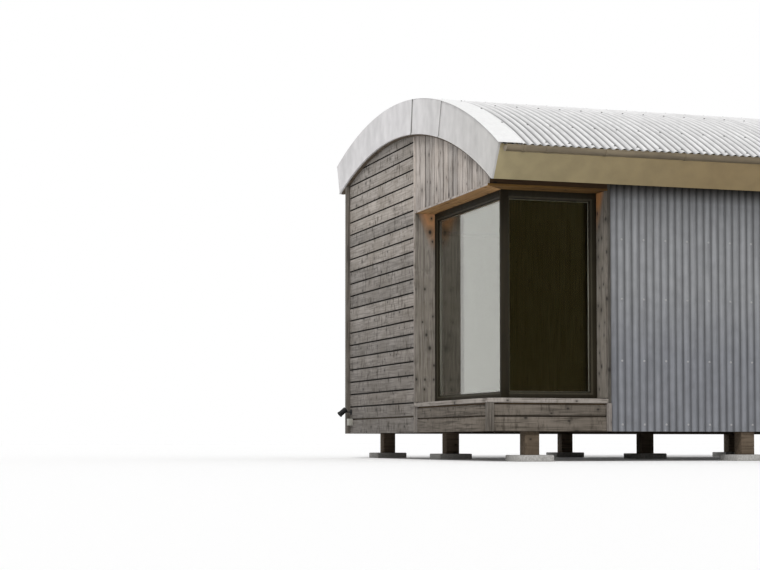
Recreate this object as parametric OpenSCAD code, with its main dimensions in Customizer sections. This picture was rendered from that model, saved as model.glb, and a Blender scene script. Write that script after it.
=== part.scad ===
// Shepherd's hut: a raised timber cabin under a lopsided barrel roof of curved corrugated sheet.
// Lengths are millimetres. X runs along the hut, Y from the low eave to the high eave, Z up from the ground.
// The corner window is at the low X, low Y corner. Turn and roof angles are degrees.

/* [Plan] */
// Length over the gable cladding
hut_len = 7620; // [5400:10:9600]
// Width over the long walls' cladding
hut_wid = 4580; // [4200:10:5000]
// Height of the cladding's bottom edge above the ground
skirt_z = 280; // [240:5:450]
// Height of the floor above the cladding's bottom edge
floor_up = 264; // [250:2:300]
// Thickness of the insulated wall frame with its sheathing
wall_core = 265; // [180:5:320]
// Thickness of the cladding zone outside the wall frame
clad_t = 20; // [18:1:30]
// Thickness of the boards that line the rooms' walls and ceiling
lining_t = 15; // [10:1:25]

/* [Roof] */
// Outer radius of the roof, at its edge flashing
roof_r = 6380; // [5800:10:7000]
// Distance of the roof's front edge beyond the front cladding
front_over = 371.5; // [320:0.5:420]
// Distance of the roof's back edge beyond the back cladding
back_over = 280; // [240:5:330]
// Height of the roof's front edge above the cladding's bottom edge
front_eave_up = 2628; // [2500:2:2800]
// Height of the roof's back edge above the cladding's bottom edge
back_eave_up = 3182; // [3000:2:3300]
// Depth of the roof's edge, measured along its radius
edge_depth = 366; // [300:2:420]
// Height by which the roof's underside lies above the edge boards' lower arc
underside_lift = 20; // [10:1:40]
// Thickness of the curved boards at the gables
barge_t = 30; // [20:1:45]
// Distance of the curved boards' outer face beyond the gable cladding
barge_out = 52; // [45:1:70]
// Depth of the folded lip along the curved boards' lower edge
lip_t = 6; // [3:1:10]
// Height of that lip
lip_h = 12; // [8:1:20]
// Thickness of the inclined eave boards
fascia_t = 22; // [18:1:30]
// Width of the flat flashing along each gable edge
flashing_w = 240; // [150:5:300]
// Thickness of the flashing
flashing_t = 3; // [2:0.5:5]
// Distance of the roof sheet's lower ends beyond the eave boards
sheet_over = 18; // [10:1:30]

/* [Corrugated sheet] */
// Distance from one corrugation to the next
wave_pitch = 76.2; // [70:0.2:90]
// Depth of the corrugations, from crest to valley
wave_depth = 17; // [14:0.5:20]
// Thickness of the sheet
sheet_t = 2; // [1.5:0.1:3]
// Straight stretches that draw one corrugation
wave_steps = 6; // [4:2:12]

/* [Corner window] */
// Width of the window opening in the gable, from the front corner
gable_opening = 2100; // [1600:10:2300]
// Width of the window opening in the front wall, from the gable corner
front_opening = 1185; // [900:5:1500]
// Depth of the opening's head below the roof's front edge
head_drop = 358; // [330:2:450]
// Depth of the window's outer face behind the cladding
window_recess = 210; // [150:5:210]
// Depth of the window frames
frame_deep = 75; // [60:1:85]
// Width of the frames' sides
frame_side = 58; // [50:1:90]
// Height of the frames' top bars
frame_top = 73; // [60:1:110]
// Height of the frames' bottom bars
frame_foot = 54; // [45:1:80]
// Width of the corner post along the front
post_w = 76; // [60:1:90]
// Width of the corner post along the gable
post_deep = 40; // [30:1:70]
// Width of the beads that hold the glass against the post
post_bead = 10; // [6:1:16]
// Width of the beads that hold the glass, within the frames' sides
bead_w = 18; // [12:1:24]
// Depth of the beads' front behind the frames' outer face
bead_back = 10; // [5:1:15]
// Depth of the glass behind the frame's outer face
glass_back = 32; // [20:1:40]
// Thickness of the sealed glass unit
glass_t = 28; // [20:1:32]
// Thickness of the boards that line the opening
reveal_t = 20; // [15:1:30]
// Height of the sill board at its outer edge
sill_t = 42; // [30:1:60]
// Rise of the sill board up to the frames
sill_rise = 8; // [4:1:20]
// Distance of the sill's edge beyond the cladding
sill_nose = 18; // [10:1:30]
// Distance of the head board's edge beyond the cladding
head_nose = 6; // [2:1:15]

/* [Cladding] */
// Width of the upright strip where the gable's level boards stop
joint_strip = 30; // [20:1:60]
// Width of the trims at the corners of the hut
corner_w = 75; // [60:1:100]
// Distance of the corner trims beyond the gable cladding
corner_proud = 37; // [20:1:45]
// Width of the trim under the window's corner
post_trim_w = 52; // [40:1:70]
// Distance of the trims under the window beyond the cladding
post_trim_proud = 12; // [5:1:17]
// Width of the upright trim beside the front window
side_trim_w = 50; // [40:1:70]

/* [Door] */
// Distance of the door opening from the window gable
door_x = 900; // [500:10:2500]
// Width of the door opening in the back wall
door_wid = 1000; // [900:10:1200]
// Height of the door opening above the floor
door_high = 2110; // [2050:10:2250]
// Thickness of the door's lining boards
door_lining = 32; // [25:1:45]
// Thickness of the door leaf
leaf_t = 54; // [40:1:70]
// Depth of the leaf behind the cladding
leaf_back = 110; // [60:5:150]
// Clearance round the door leaf
leaf_gap = 3; // [2:0.5:6]
// Width and depth of the stop that the leaf shuts against
door_stop = 15; // [10:1:25]
// Length of the boarded stretch of back wall beside the door
boarded_len = 2300; // [2200:10:3200]
// Length of the door's bar handle
handle_len = 320; // [200:10:600]
// Radius of the door's handle
handle_r = 10; // [8:1:15]
// Distance of the handle's middle in front of the leaf
handle_out = 40; // [30:1:50]
// Distance of the handle from the leaf's edge
handle_in = 75; // [50:5:120]
// Height of the handle's middle above the floor
handle_up = 1050; // [950:10:1150]

/* [Floor and feet] */
// Thickness of the floor boarding
deck_t = 22; // [18:1:30]
// Depth of the joists
joist_h = 95; // [70:5:120]
// Thickness of the joists and of the rim boards
joist_t = 45; // [35:1:60]
// Distance from one joist to the next
joist_pitch = 600; // [400:10:700]
// Thickness of the long bearers
bearer_t = 90; // [75:5:120]
// Side of the square feet
foot_side = 140; // [120:5:180]
// Distance of the end feet from the gable cladding
foot_in = 450; // [300:10:800]
// Side of the square ground pads
pad_side = 350; // [250:10:450]
// Height of the ground pads above the ground
pad_h = 60; // [40:5:120]
// Feet in one row along the hut
feet_in_row = 4; // [3:1:6]

/* [Gutters] */
// Outer radius of the half-round gutters
gutter_r = 50; // [45:1:70]
// Thickness of the gutters
gutter_t = 3; // [2:0.5:5]
// Distance of the gutters from the eave boards' edge
gutter_gap = 6; // [4:1:15]
// Distance of the gutters' rim below the roof's edge
gutter_low = 60; // [50:1:70]
// Distance of the front gutter's ends beyond the gable cladding
gutter_past = 4; // [0:1:50]
// Distance of the back gutter's ends inside the gable cladding
back_gutter_in = 60; // [40:5:90]
// Width of the gutter brackets
bracket_w = 25; // [20:1:35]
// Thickness of the gutter brackets
strap_t = 4; // [3:0.5:6]
// Distance of the end brackets from the gable cladding
bracket_in = 175; // [120:5:180]
// Distance from one gutter bracket to the next
bracket_pitch = 790; // [600:10:1000]
// Outer radius of the downpipes
pipe_r = 38; // [30:1:45]
// Distance of the downpipes' middle in front of the cladding
pipe_off = 62; // [56:1:90]
// Distance of the downpipes from the far gable
pipe_in = 300; // [260:5:400]
// Radius of the downpipes' bends, at the middle of the pipe
bend_r = 90; // [70:5:110]
// Drop of the downpipes from the gutter to their first bend
neck_drop = 110; // [100:5:160]
// Angle of the downpipes' necks and shoes below the level
neck_a = 40; // [30:1:45]
// Length of the downpipes' shoes
shoe_len = 150; // [130:5:200]
// Depth of the open mouth of the shoes
shoe_bore = 60; // [40:5:80]
// Thickness of the pipe clips and of the bends' sockets
clip_t = 3; // [2:0.5:5]
// Height of the pipe clips
clip_h = 30; // [20:1:40]
// Length of the bends' sockets
socket_h = 35; // [25:1:45]

/* [Corner lamp] */
// Distance of the lamp from the back cladding
lamp_in = 130; // [115:5:200]
// Height of the lamp above the cladding's bottom edge
lamp_up = 250; // [230:5:400]
// Distance of the lamp's middle beyond the gable cladding
lamp_out = 105; // [80:5:150]
// Radius of the lamp
lamp_r = 30; // [20:1:40]
// Length of the lamp
lamp_len = 100; // [70:5:140]
// Angle at which the lamp points below the level
lamp_a = 40; // [0:5:60]
// Width of the lamp's round rim beyond its body
lamp_rim = 4; // [2:1:8]
// Radius of the lamp's arm
arm_r = 7; // [5:1:10]
// Side of the lamp's wall plate
plate_side = 60; // [40:5:80]
// Thickness of the wall plate
plate_t = 8; // [4:1:12]
// Width of the box that feeds the lamp
box_wid = 75; // [60:5:100]
// Height of that box
box_high = 78; // [60:2:100]
// Distance of that box beyond the gable cladding
box_out = 50; // [30:5:70]
// Drop from the lamp's middle to the box's middle
box_drop = 117; // [100:1:140]

/* [Hidden] */

arc_fn = 360;
pipe_fn = 48;
// Length by which a cut runs past a face
eps = 1;
floor_z = skirt_z + floor_up;
wall_t = clad_t + wall_core;
room_in = wall_t + lining_t;
edge_r = roof_r - edge_depth;
under_r = edge_r + underside_lift;
crest_r = roof_r - flashing_t;
deck_top_r = crest_r - wave_depth - sheet_t;
ceiling_r = under_r - lining_t;
deck_end = barge_out - barge_t;
head_z = skirt_z + front_eave_up - head_drop;
sill_top_z = floor_z + sill_t + sill_rise;
frame_z = sill_top_z;
frame_high = head_z - frame_z;
// Length by which a cutting shape or a guide runs past what it cuts
past = 600;
// Clearance where a flat board meets a curved sheet
seat = 0.3;

// The roof's outer arc runs between its two edges, given as [y, z], round an axis below them
front_edge = [-front_over, skirt_z + front_eave_up];
back_edge = [hut_wid + back_over, skirt_z + back_eave_up];
chord = back_edge - front_edge;
axis_depth = sqrt(pow(roof_r, 2) - pow(norm(chord) / 2, 2));
axis = (front_edge + back_edge) / 2 + axis_depth * [chord[1], -chord[0]] / norm(chord);
axis_y = axis[0];
axis_z = axis[1];
front_eave_a = asin((axis_y - front_edge[0]) / roof_r);
back_eave_a = asin((back_edge[0] - axis_y) / roof_r);
front_gutter_y = front_edge[0] - fascia_t * cos(front_eave_a) - gutter_gap - gutter_r;
back_gutter_y = back_edge[0] + fascia_t * cos(back_eave_a) + gutter_gap + gutter_r;
front_gutter_z = front_edge[1] - gutter_low;
back_gutter_z = back_edge[1] - gutter_low;
middle_y = (front_gutter_y + back_gutter_y) / 2;

lamp_reach = lamp_out + (lamp_len / 2 + eps) * cos(lamp_a) + (lamp_r + lamp_rim) * sin(lamp_a);
middle_x = (hut_len + barge_out + lip_t - max(barge_out + lip_t, lamp_reach)) / 2;

// Puts the hut over the origin, at the middle of everything that it reaches to
module place() {
    translate([-middle_x, -middle_y, 0])
        children();
}

// A box between two corners
module span(low, high) {
    translate(low)
        cube([high[0] - low[0], high[1] - low[1], high[2] - low[2]]);
}

// A profile drawn as [radius, x], swept about the roof's axis from angle a to angle b
module sweep_roof(a, b) {
    translate([0, axis_y, axis_z])
        rotate([0, -90, 0])
            rotate([0, 0, a])
                rotate_extrude(angle = b - a, $fn = arc_fn)
                    mirror([0, 1, 0])
                        children();
}

// Everything within radius r of the roof's axis
module under(r) {
    translate([-past, axis_y, axis_z])
        rotate([0, 90, 0])
            cylinder(r = r, h = hut_len + 2 * past, $fn = arc_fn);
}

// A box whose top follows the roof's underside
module under_roof_box(low, high) {
    intersection() {
        span(low, [high[0], high[1], roof_r + axis_z]);
        under(under_r);
    }
}

// The closed outline of a corrugated sheet: x runs across the waves, y through the sheet
function wave(x) = wave_depth / 2 * cos(360 * x / wave_pitch);
function wave_xs(from, to) = let (n = ceil((to - from) / wave_pitch * wave_steps))
    [for (i = [0:n]) min(to, from + i * wave_pitch / wave_steps)];

module wave_outline(from, to) {
    xs = wave_xs(from, to);
    last = len(xs) - 1;
    polygon(concat(
        [for (x = xs) [x, wave(x - from) + sheet_t + wave_depth / 2]],
        [for (i = [last:-1:0]) [xs[i], wave(xs[i] - from) + wave_depth / 2]]
    ));
}

// Upright corrugated sheet with its crests on y = 0 and its waves along x
module upright_sheet(from, to, low, high) {
    translate([0, wave_depth + sheet_t, low])
        mirror([0, 1, 0])
            linear_extrude(high - low)
                wave_outline(from, to);
}

// Height of the roof's underside at a distance y behind the front cladding
function under_z(y) = axis_z + sqrt(pow(under_r, 2) - pow(y - axis_y, 2));

module ground_pads() {
    color("darkgray")
        place()
            feet_places()
                translate([-pad_side / 2, -pad_side / 2, 0])
                    cube([pad_side, pad_side, pad_h]);
}

bearer_h = floor_up - deck_t - joist_h;
bearer_ys = [
    clad_t + joist_t + bearer_t / 2,
    hut_wid / 2,
    hut_wid - clad_t - joist_t - bearer_t / 2
];
foot_pitch = (hut_len - 2 * foot_in) / (feet_in_row - 1);

module feet_places() {
    for (i = [0:feet_in_row - 1])
        for (y = bearer_ys)
            translate([foot_in + i * foot_pitch, y, 0])
                children();
}

module feet() {
    color("dimgray")
        place()
            feet_places()
                translate([-foot_side / 2, -foot_side / 2, pad_h])
                    cube([foot_side, foot_side, skirt_z - pad_h]);
}

module floor_bearers() {
    color("peru")
        place()
            for (y = bearer_ys)
                span([clad_t + joist_t, y - bearer_t / 2, skirt_z],
                     [hut_len - clad_t - joist_t, y + bearer_t / 2, skirt_z + bearer_h]);
}

rim_in = clad_t + joist_t;
joist_count = ceil((hut_len - 2 * rim_in) / joist_pitch) - 1;
joist_step = (hut_len - 2 * rim_in) / (joist_count + 1);

module floor_joists() {
    color("peru")
        place()
            for (i = [1:joist_count])
                span([rim_in + i * joist_step - joist_t / 2, rim_in, skirt_z + bearer_h],
                     [rim_in + i * joist_step + joist_t / 2, hut_wid - rim_in, floor_z - deck_t]);
}

module floor_rim() {
    color("peru")
        place()
            difference() {
                span([clad_t, clad_t, skirt_z],
                     [hut_len - clad_t, hut_wid - clad_t, floor_z - deck_t]);
                span([rim_in, rim_in, skirt_z - eps],
                     [hut_len - rim_in, hut_wid - rim_in, floor_z]);
            }
}

module floor_deck() {
    color("burlywood")
        place()
            span([clad_t, clad_t, floor_z - deck_t],
                 [hut_len - clad_t, hut_wid - clad_t, floor_z]);
}

module window_gable_wall() {
    color("tan")
        place()
            under_roof_box([clad_t, gable_opening + reveal_t, floor_z],
                           [wall_t, hut_wid - clad_t]);
}

module window_gable_wall_over_window() {
    color("tan")
        place()
            under_roof_box([clad_t, clad_t, head_z + reveal_t],
                           [wall_t, gable_opening + reveal_t]);
}

module front_wall() {
    color("tan")
        place()
            under_roof_box([front_opening + reveal_t, clad_t, floor_z],
                           [hut_len - wall_t, wall_t]);
}

module front_wall_over_window() {
    color("tan")
        place()
            under_roof_box([wall_t, clad_t, head_z + reveal_t],
                           [front_opening + reveal_t, wall_t]);
}

module back_wall_by_corner() {
    color("tan")
        place()
            under_roof_box([wall_t, hut_wid - wall_t, floor_z],
                           [door_x, hut_wid - clad_t]);
}

module back_wall_over_door() {
    color("tan")
        place()
            under_roof_box([door_x, hut_wid - wall_t, floor_z + door_high],
                           [door_x + door_wid, hut_wid - clad_t]);
}

module back_wall() {
    color("tan")
        place()
            under_roof_box([door_x + door_wid, hut_wid - wall_t, floor_z],
                           [hut_len - wall_t, hut_wid - clad_t]);
}

module far_gable_wall() {
    color("tan")
        place()
            under_roof_box([hut_len - wall_t, clad_t, floor_z],
                           [hut_len - clad_t, hut_wid - clad_t]);
}

module wall_lining() {
    color("wheat")
        place()
            difference() {
                intersection() {
                    span([wall_t, wall_t, floor_z],
                         [hut_len - wall_t, hut_wid - wall_t, roof_r + axis_z]);
                    under(ceiling_r);
                }
                span([room_in, room_in, floor_z - eps],
                     [hut_len - room_in, hut_wid - room_in, roof_r + axis_z]);
                span([0, 0, floor_z - eps],
                     [room_in + eps, gable_opening + reveal_t, head_z + reveal_t]);
                span([0, 0, floor_z - eps],
                     [front_opening + reveal_t, room_in + eps, head_z + reveal_t]);
                span([door_x, hut_wid - room_in - eps, floor_z - eps],
                     [door_x + door_wid, hut_wid, floor_z + door_high]);
            }
}

module ceiling_lining() {
    color("wheat")
        place()
            intersection() {
                difference() {
                    under(under_r);
                    under(ceiling_r);
                }
                span([wall_t, wall_t, floor_z],
                     [hut_len - wall_t, hut_wid - wall_t, roof_r + axis_z]);
            }
}

module roof_deck() {
    color("saddlebrown")
        place()
            sweep_roof(-front_eave_a, back_eave_a)
                translate([under_r, -deck_end])
                    square([deck_top_r - under_r, hut_len + 2 * deck_end]);
}

// Sweeps a profile over the whole roof, past the eave boards and into the gutters
module sweep_into_gutters() {
    past_a = atan((fascia_t + sheet_over) / roof_r);
    sweep_roof(-front_eave_a - past_a, back_eave_a + past_a)
        children();
}

module roof_sheet() {
    color("lightsteelblue")
        place()
            sweep_into_gutters()
                translate([deck_top_r, 0])
                    mirror([1, -1, 0])
                        wave_outline(-deck_end, hut_len + deck_end);
}

module verge_flashings() {
    color("gainsboro")
        place()
            for (x = [-barge_out, hut_len + barge_out - flashing_w])
                sweep_into_gutters()
                    translate([crest_r, x])
                        square([flashing_t, flashing_w]);
}

// The window gable's curved board, with a folded lip along its lower arc
module barge() {
    tip = atan(fascia_t / roof_r);
    sweep_roof(-front_eave_a - tip, back_eave_a + tip) {
        translate([edge_r, -barge_out])
            square([crest_r - edge_r, barge_t]);
        translate([edge_r, -barge_out - lip_t])
            square([lip_h, lip_t + eps]);
    }
}

module window_gable_barge() {
    color("silver")
        place()
            barge();
}

module far_gable_barge() {
    color("silver")
        place()
            translate([hut_len, 0, 0])
                mirror([1, 0, 0])
                    barge();
}

// An inclined board that closes the roof's edge at angle a; side is -1 in front and 1 behind
module fascia(a, side) {
    translate([-deck_end, axis_y, axis_z])
        rotate([-a, 0, 0])
            translate([0, side < 0 ? -fascia_t : 0, edge_r])
                cube([hut_len + 2 * deck_end, fascia_t, deck_top_r - edge_r - seat]);
}

module front_fascia() {
    color("darkkhaki")
        place()
            fascia(-front_eave_a, -1);
}

module back_fascia() {
    color("darkkhaki")
        place()
            fascia(back_eave_a, 1);
}

// The lower half of a tube along x, between radii r and r - t
module trough(length, r, t) {
    rotate([90, 0, 90])
        linear_extrude(length)
            difference() {
                circle(r = r, $fn = pipe_fn);
                circle(r = r - t, $fn = pipe_fn);
                translate([-r - eps, 0])
                    square([2 * r + 2 * eps, r + eps]);
            }
}

// A half-round gutter with both ends stopped, at a distance past the gables
module gutter(ends_past) {
    gutter_len = hut_len + 2 * ends_past;
    translate([-ends_past, 0, 0]) {
        trough(gutter_len, gutter_r, gutter_t);
        for (x = [0, gutter_len - gutter_t])
            translate([x, 0, 0])
                trough(gutter_t, gutter_r, gutter_r);
    }
}

module front_gutter() {
    color("lightslategray")
        place()
            translate([0, front_gutter_y, front_gutter_z])
                gutter(gutter_past);
}

module back_gutter() {
    color("lightslategray")
        place()
            translate([0, back_gutter_y, back_gutter_z])
                gutter(-back_gutter_in);
}

bracket_count = floor((hut_len - 2 * bracket_in) / bracket_pitch);
bracket_step = (hut_len - 2 * bracket_in) / bracket_count;

// A strap under the gutter with an arm back to the eave board; side is -1 in front and 1 behind
module bracket(y, z, a, side) {
    difference() {
        union() {
            translate([0, y, z])
                trough(bracket_w, gutter_r + strap_t, strap_t);
            translate([0, side < 0 ? y + gutter_r - gutter_t : y - 2 * gutter_r, z - 3 * strap_t])
                cube([bracket_w, gutter_r + gutter_t, 3 * strap_t]);
        }
        translate([0, y, z])
            rotate([90, 0, 90])
                translate([0, 0, -eps])
                    cylinder(r = gutter_r, h = bracket_w + 2 * eps, $fn = pipe_fn);
        translate([-eps, axis_y, axis_z])
            rotate([-a, 0, 0])
                translate([0, side < 0 ? -fascia_t : fascia_t - 2 * past, 0])
                    cube([bracket_w + 2 * eps, 2 * past, 2 * roof_r]);
    }
}

module gutter_brackets() {
    color("slategray")
        place()
            for (i = [0:bracket_count])
                translate([bracket_in + i * bracket_step - bracket_w / 2, 0, 0]) {
                    bracket(front_gutter_y, front_gutter_z, -front_eave_a, -1);
                    bracket(back_gutter_y, back_gutter_z, back_eave_a, 1);
                }
}

// A round rod from a to b, both [y, z]
module rod(a, b, r) {
    d = b - a;
    translate([0, a[0], a[1]])
        rotate([-atan2(d[0], d[1]), 0, 0])
            cylinder(r = r, h = norm(d), $fn = pipe_fn);
}

function unit(v) = v / norm(v);
function turn(u, v) = atan2(u[0] * v[1] - u[1] * v[0], u * v);

// The bend that takes a round rod from direction u to direction v at the corner p
module bend(p, u, v, r) {
    t = turn(u, v);
    side = sign(t);
    start = p - u * bend_r * tan(abs(t) / 2);
    centre = start + side * bend_r * [-u[1], u[0]];
    from = start - centre;
    translate([0, centre[0], centre[1]])
        rotate([90, 0, 90])
            rotate([0, 0, atan2(from[1], from[0]) + min(t, 0)])
                rotate_extrude(angle = abs(t), $fn = 4 * pipe_fn)
                    translate([bend_r, 0])
                        circle(r = r, $fn = pipe_fn);
}

// A downpipe from under a gutter at [y, z] to its shoe, beside the wall face at wall_y
module downpipe(y, z, wall_y, side) {
    pipe_y = wall_y + side * pipe_off;
    neck_top = [y, z - gutter_r - neck_drop];
    neck_foot = [pipe_y, neck_top[1] - abs(y - pipe_y) * tan(neck_a)];
    shoe = [pipe_y, skirt_z - 10];
    mouth = shoe + shoe_len * [side * cos(neck_a), -sin(neck_a)];
    path = [[y, z], neck_top, neck_foot, shoe, mouth];
    dirs = [for (i = [0:3]) unit(path[i + 1] - path[i])];
    cuts = [0, for (i = [0:2]) bend_r * tan(abs(turn(dirs[i], dirs[i + 1])) / 2), 0];
    difference() {
        for (i = [0:3])
            rod(path[i] + dirs[i] * cuts[i], path[i + 1] - dirs[i] * cuts[i + 1], pipe_r);
        rod(mouth - shoe_bore * dirs[3], mouth + dirs[3], pipe_r - clip_t);
        // The gutter that the pipe's top is cut to fit
        translate([-pipe_r - eps, y, z])
            rotate([0, 90, 0])
                cylinder(r = gutter_r, h = 2 * pipe_r + 2 * eps, $fn = pipe_fn);
    }
    for (i = [0:2]) {
        bend(path[i + 1], dirs[i], dirs[i + 1], pipe_r);
        // The bend's sockets, round the ends of the straight pipes
        above = path[i + 1] - dirs[i] * cuts[i + 1];
        below = path[i + 1] + dirs[i + 1] * cuts[i + 1];
        rod(above - dirs[i] * socket_h, above + dirs[i] * socket_in, pipe_r + clip_t);
        rod(below - dirs[i + 1] * socket_in, below + dirs[i + 1] * socket_h, pipe_r + clip_t);
    }
    for (k = [0.12, 0.5, 0.88])
        pipe_clip(pipe_y, shoe[1] + k * (neck_foot[1] - shoe[1]), wall_y, side);
}

// Depth by which a bend and its sockets run into each other
socket_in = 8;

// A band round the pipe and a stand-off to the wall
module pipe_clip(pipe_y, z, wall_y, side) {
    translate([0, pipe_y, z])
        cylinder(r = pipe_r + clip_t, h = clip_h, $fn = pipe_fn);
    span([-clip_h / 2, min(pipe_y, wall_y), z], [clip_h / 2, max(pipe_y, wall_y), z + clip_h]);
}

module downpipes() {
    color("lightslategray")
        place()
            translate([hut_len - pipe_in, 0, 0]) {
                downpipe(front_gutter_y, front_gutter_z, 0, -1);
                downpipe(back_gutter_y, back_gutter_z, hut_wid, 1);
            }
}

// The lamp on its arm and wall plate, over the box that feeds it
module corner_lamp() {
    color("darkslategray")
        place()
            translate([0, hut_wid - lamp_in, skirt_z + lamp_up]) {
                span([-plate_t, -plate_side / 2, -plate_side / 2],
                     [0, plate_side / 2, plate_side / 2]);
                rotate([0, -90, 0])
                    cylinder(r = arm_r, h = lamp_out, $fn = pipe_fn);
                translate([-lamp_out, 0, 0])
                    rotate([0, -90 - lamp_a, 0])
                        lamp_head();
                span([-box_out, -box_wid / 2 - plate_side / 2, -box_drop - box_high / 2],
                     [0, box_wid / 2 - plate_side / 2, -box_drop + box_high / 2]);
            }
}

// A tube that points along +Z, with a rim round its open end
module lamp_head() {
    difference() {
        union() {
            translate([0, 0, -lamp_len / 2])
                cylinder(r = lamp_r, h = lamp_len, $fn = pipe_fn);
            translate([0, 0, lamp_len / 2 - 3 * lamp_rim])
                cylinder(r = lamp_r + lamp_rim, h = 3 * lamp_rim + eps, $fn = pipe_fn);
        }
        translate([0, 0, lamp_len / 2 - 2 * lamp_rim])
            cylinder(r = lamp_r - lamp_rim, h = 3 * lamp_rim, $fn = pipe_fn);
    }
}

strip_end = gable_opening + joint_strip;

module gable_level_boards() {
    color("rosybrown")
        place()
            under_roof_box([0, strip_end, skirt_z],
                           [clad_t, hut_wid - corner_w]);
}

module gable_upright_boards() {
    color("rosybrown")
        place() {
            under_roof_box([0, 0, head_z + reveal_t],
                           [clad_t, strip_end]);
            span([0, gable_opening + reveal_t, floor_z], [clad_t, strip_end, head_z + reveal_t]);
            span([0, strip_end - corner_w, skirt_z], [clad_t, strip_end, floor_z]);
        }
}

module window_apron_boards() {
    color("rosybrown")
        place() {
            span([0, post_trim_w, skirt_z], [clad_t, strip_end - corner_w, floor_z]);
            span([post_trim_w, 0, skirt_z], [front_opening, clad_t, floor_z]);
        }
}

module front_head_board() {
    color("rosybrown")
        place()
            under_roof_box([clad_t, 0, head_z + reveal_t],
                           [front_opening + reveal_t, clad_t]);
}

module window_reveals() {
    color("sienna")
        place()
            difference() {
                union() {
                    span([0, gable_opening, sill_top_z],
                         [room_in, gable_opening + reveal_t, head_z + reveal_t]);
                    span([front_opening, 0, sill_top_z],
                         [front_opening + reveal_t, room_in, head_z + reveal_t]);
                    span([-head_nose, -head_nose, head_z],
                         [room_in, gable_opening + reveal_t, head_z + reveal_t]);
                    span([-head_nose, -head_nose, head_z],
                         [front_opening + reveal_t, room_in, head_z + reveal_t]);
                }
                span([room_in, room_in, floor_z], [2 * hut_len, 2 * hut_wid, 2 * roof_r]);
            }
}

// The sill's section: x from its nose inwards, y up from the floor
module sill_section() {
    polygon([
        [-sill_nose, 0],
        [-sill_nose, sill_t],
        [window_recess, sill_t + sill_rise],
        [room_in, sill_t + sill_rise],
        [room_in, 0]
    ]);
}

// One length of the sill along y, mitred at the corner where y = x
module sill_length(length) {
    intersection() {
        translate([0, length, 0])
            rotate([90, 0, 0])
                linear_extrude(length + sill_nose)
                    sill_section();
        linear_extrude(past)
            polygon([
                [-sill_nose, -sill_nose],
                [room_in, room_in],
                [room_in, length],
                [-sill_nose, length]
            ]);
    }
}

module window_sill() {
    color("rosybrown")
        place()
            translate([0, 0, floor_z])
                difference() {
                    union() {
                        sill_length(gable_opening + reveal_t);
                        mirror([1, -1, 0])
                            sill_length(front_opening + reveal_t);
                    }
                    // The nose stops where the opening does
                    span([-sill_nose - eps, gable_opening, -eps],
                         [0, gable_opening + reveal_t + eps, sill_t + sill_rise]);
                    span([front_opening, -sill_nose - eps, -eps],
                         [front_opening + reveal_t + eps, 0, sill_t + sill_rise]);
                }
}

// The hole in a window frame from y = low to y = high, widened by a margin, but not into the corner post
module frame_hole(width, margin, low, high) {
    span([frame_side - margin, low, frame_foot - margin],
         [width - post_bead + min(margin, post_bead), high, frame_high - frame_top + margin]);
}

// A window frame behind the plane y = 0 with a groove for its glass; x runs from the wall to the corner post
module window_frame(width) {
    difference() {
        cube([width, frame_deep, frame_high]);
        frame_hole(width, 0, -eps, frame_deep + eps);
        frame_hole(width, bead_w, -eps, bead_back);
        glass(width);
    }
}

module glass(width) {
    frame_hole(width, bead_w, glass_back, glass_back + glass_t);
}

gable_frame_wid = gable_opening - window_recess - post_deep;
front_frame_wid = front_opening - window_recess - post_w;

module at_gable_window() {
    translate([window_recess, gable_opening, frame_z])
        rotate([0, 0, -90])
            children();
}

module at_front_window() {
    translate([front_opening, window_recess, frame_z])
        mirror([1, 0, 0])
            children();
}

module gable_window_frame() {
    color("black")
        place()
            at_gable_window()
                window_frame(gable_frame_wid);
}

module front_window_frame() {
    color("black")
        place()
            at_front_window()
                window_frame(front_frame_wid);
}

module window_corner_post() {
    color("black")
        place()
            span([window_recess, window_recess, frame_z],
                 [window_recess + post_w, window_recess + post_deep, head_z]);
}

module window_glass() {
    color("lightblue", 0.5)
        place() {
            at_gable_window()
                glass(gable_frame_wid);
            at_front_window()
                glass(front_frame_wid);
        }
}

module corner_trims() {
    color("thistle")
        place() {
            // Back corner of the window gable
            under_roof_box([-corner_proud, hut_wid - corner_w, skirt_z], [clad_t, hut_wid]);
            // Corners of the far gable
            under_roof_box([hut_len - clad_t, hut_wid - corner_w, skirt_z],
                           [hut_len + corner_proud, hut_wid]);
            under_roof_box([hut_len - clad_t, 0, skirt_z],
                           [hut_len + corner_proud, corner_w]);
            // Under the window's corner
            span([-post_trim_proud, -post_trim_proud, skirt_z], [clad_t, post_trim_w, floor_z]);
            span([clad_t, -post_trim_proud, skirt_z], [post_trim_w, clad_t, floor_z]);
            // Beside the front window
            under_roof_box([front_opening + reveal_t, 0, floor_z],
                           [front_opening + side_trim_w, clad_t]);
            span([front_opening, -post_trim_proud, skirt_z],
                 [front_opening + side_trim_w, clad_t, floor_z]);
        }
}

sheet_y = clad_t - wave_depth - sheet_t;

module front_corrugated_sheet() {
    color("slategray")
        place()
            translate([0, sheet_y, 0])
                upright_sheet(front_opening + side_trim_w, hut_len - clad_t,
                              skirt_z, under_z(0));
}

module back_corrugated_sheet() {
    color("slategray")
        place()
            translate([0, hut_wid - sheet_y, 0])
                mirror([0, 1, 0])
                    upright_sheet(boarded_len, hut_len - clad_t, skirt_z, under_z(hut_wid));
}

module back_upright_boards() {
    color("rosybrown")
        place()
            difference() {
                under_roof_box([clad_t, hut_wid - clad_t, skirt_z], [boarded_len, hut_wid]);
                span([door_x, hut_wid - clad_t - eps, floor_z],
                     [door_x + door_wid, hut_wid + eps, floor_z + door_high]);
            }
}

module far_gable_boards() {
    color("rosybrown")
        place()
            under_roof_box([hut_len - clad_t, corner_w, skirt_z],
                           [hut_len, hut_wid - corner_w]);
}

// The door opening, drawn in by a margin on all four sides, from y = low to y = high
module door_hole(margin, low, high) {
    span([door_x + margin, low, floor_z + margin],
         [door_x + door_wid - margin, high, floor_z + door_high - margin]);
}

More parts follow.
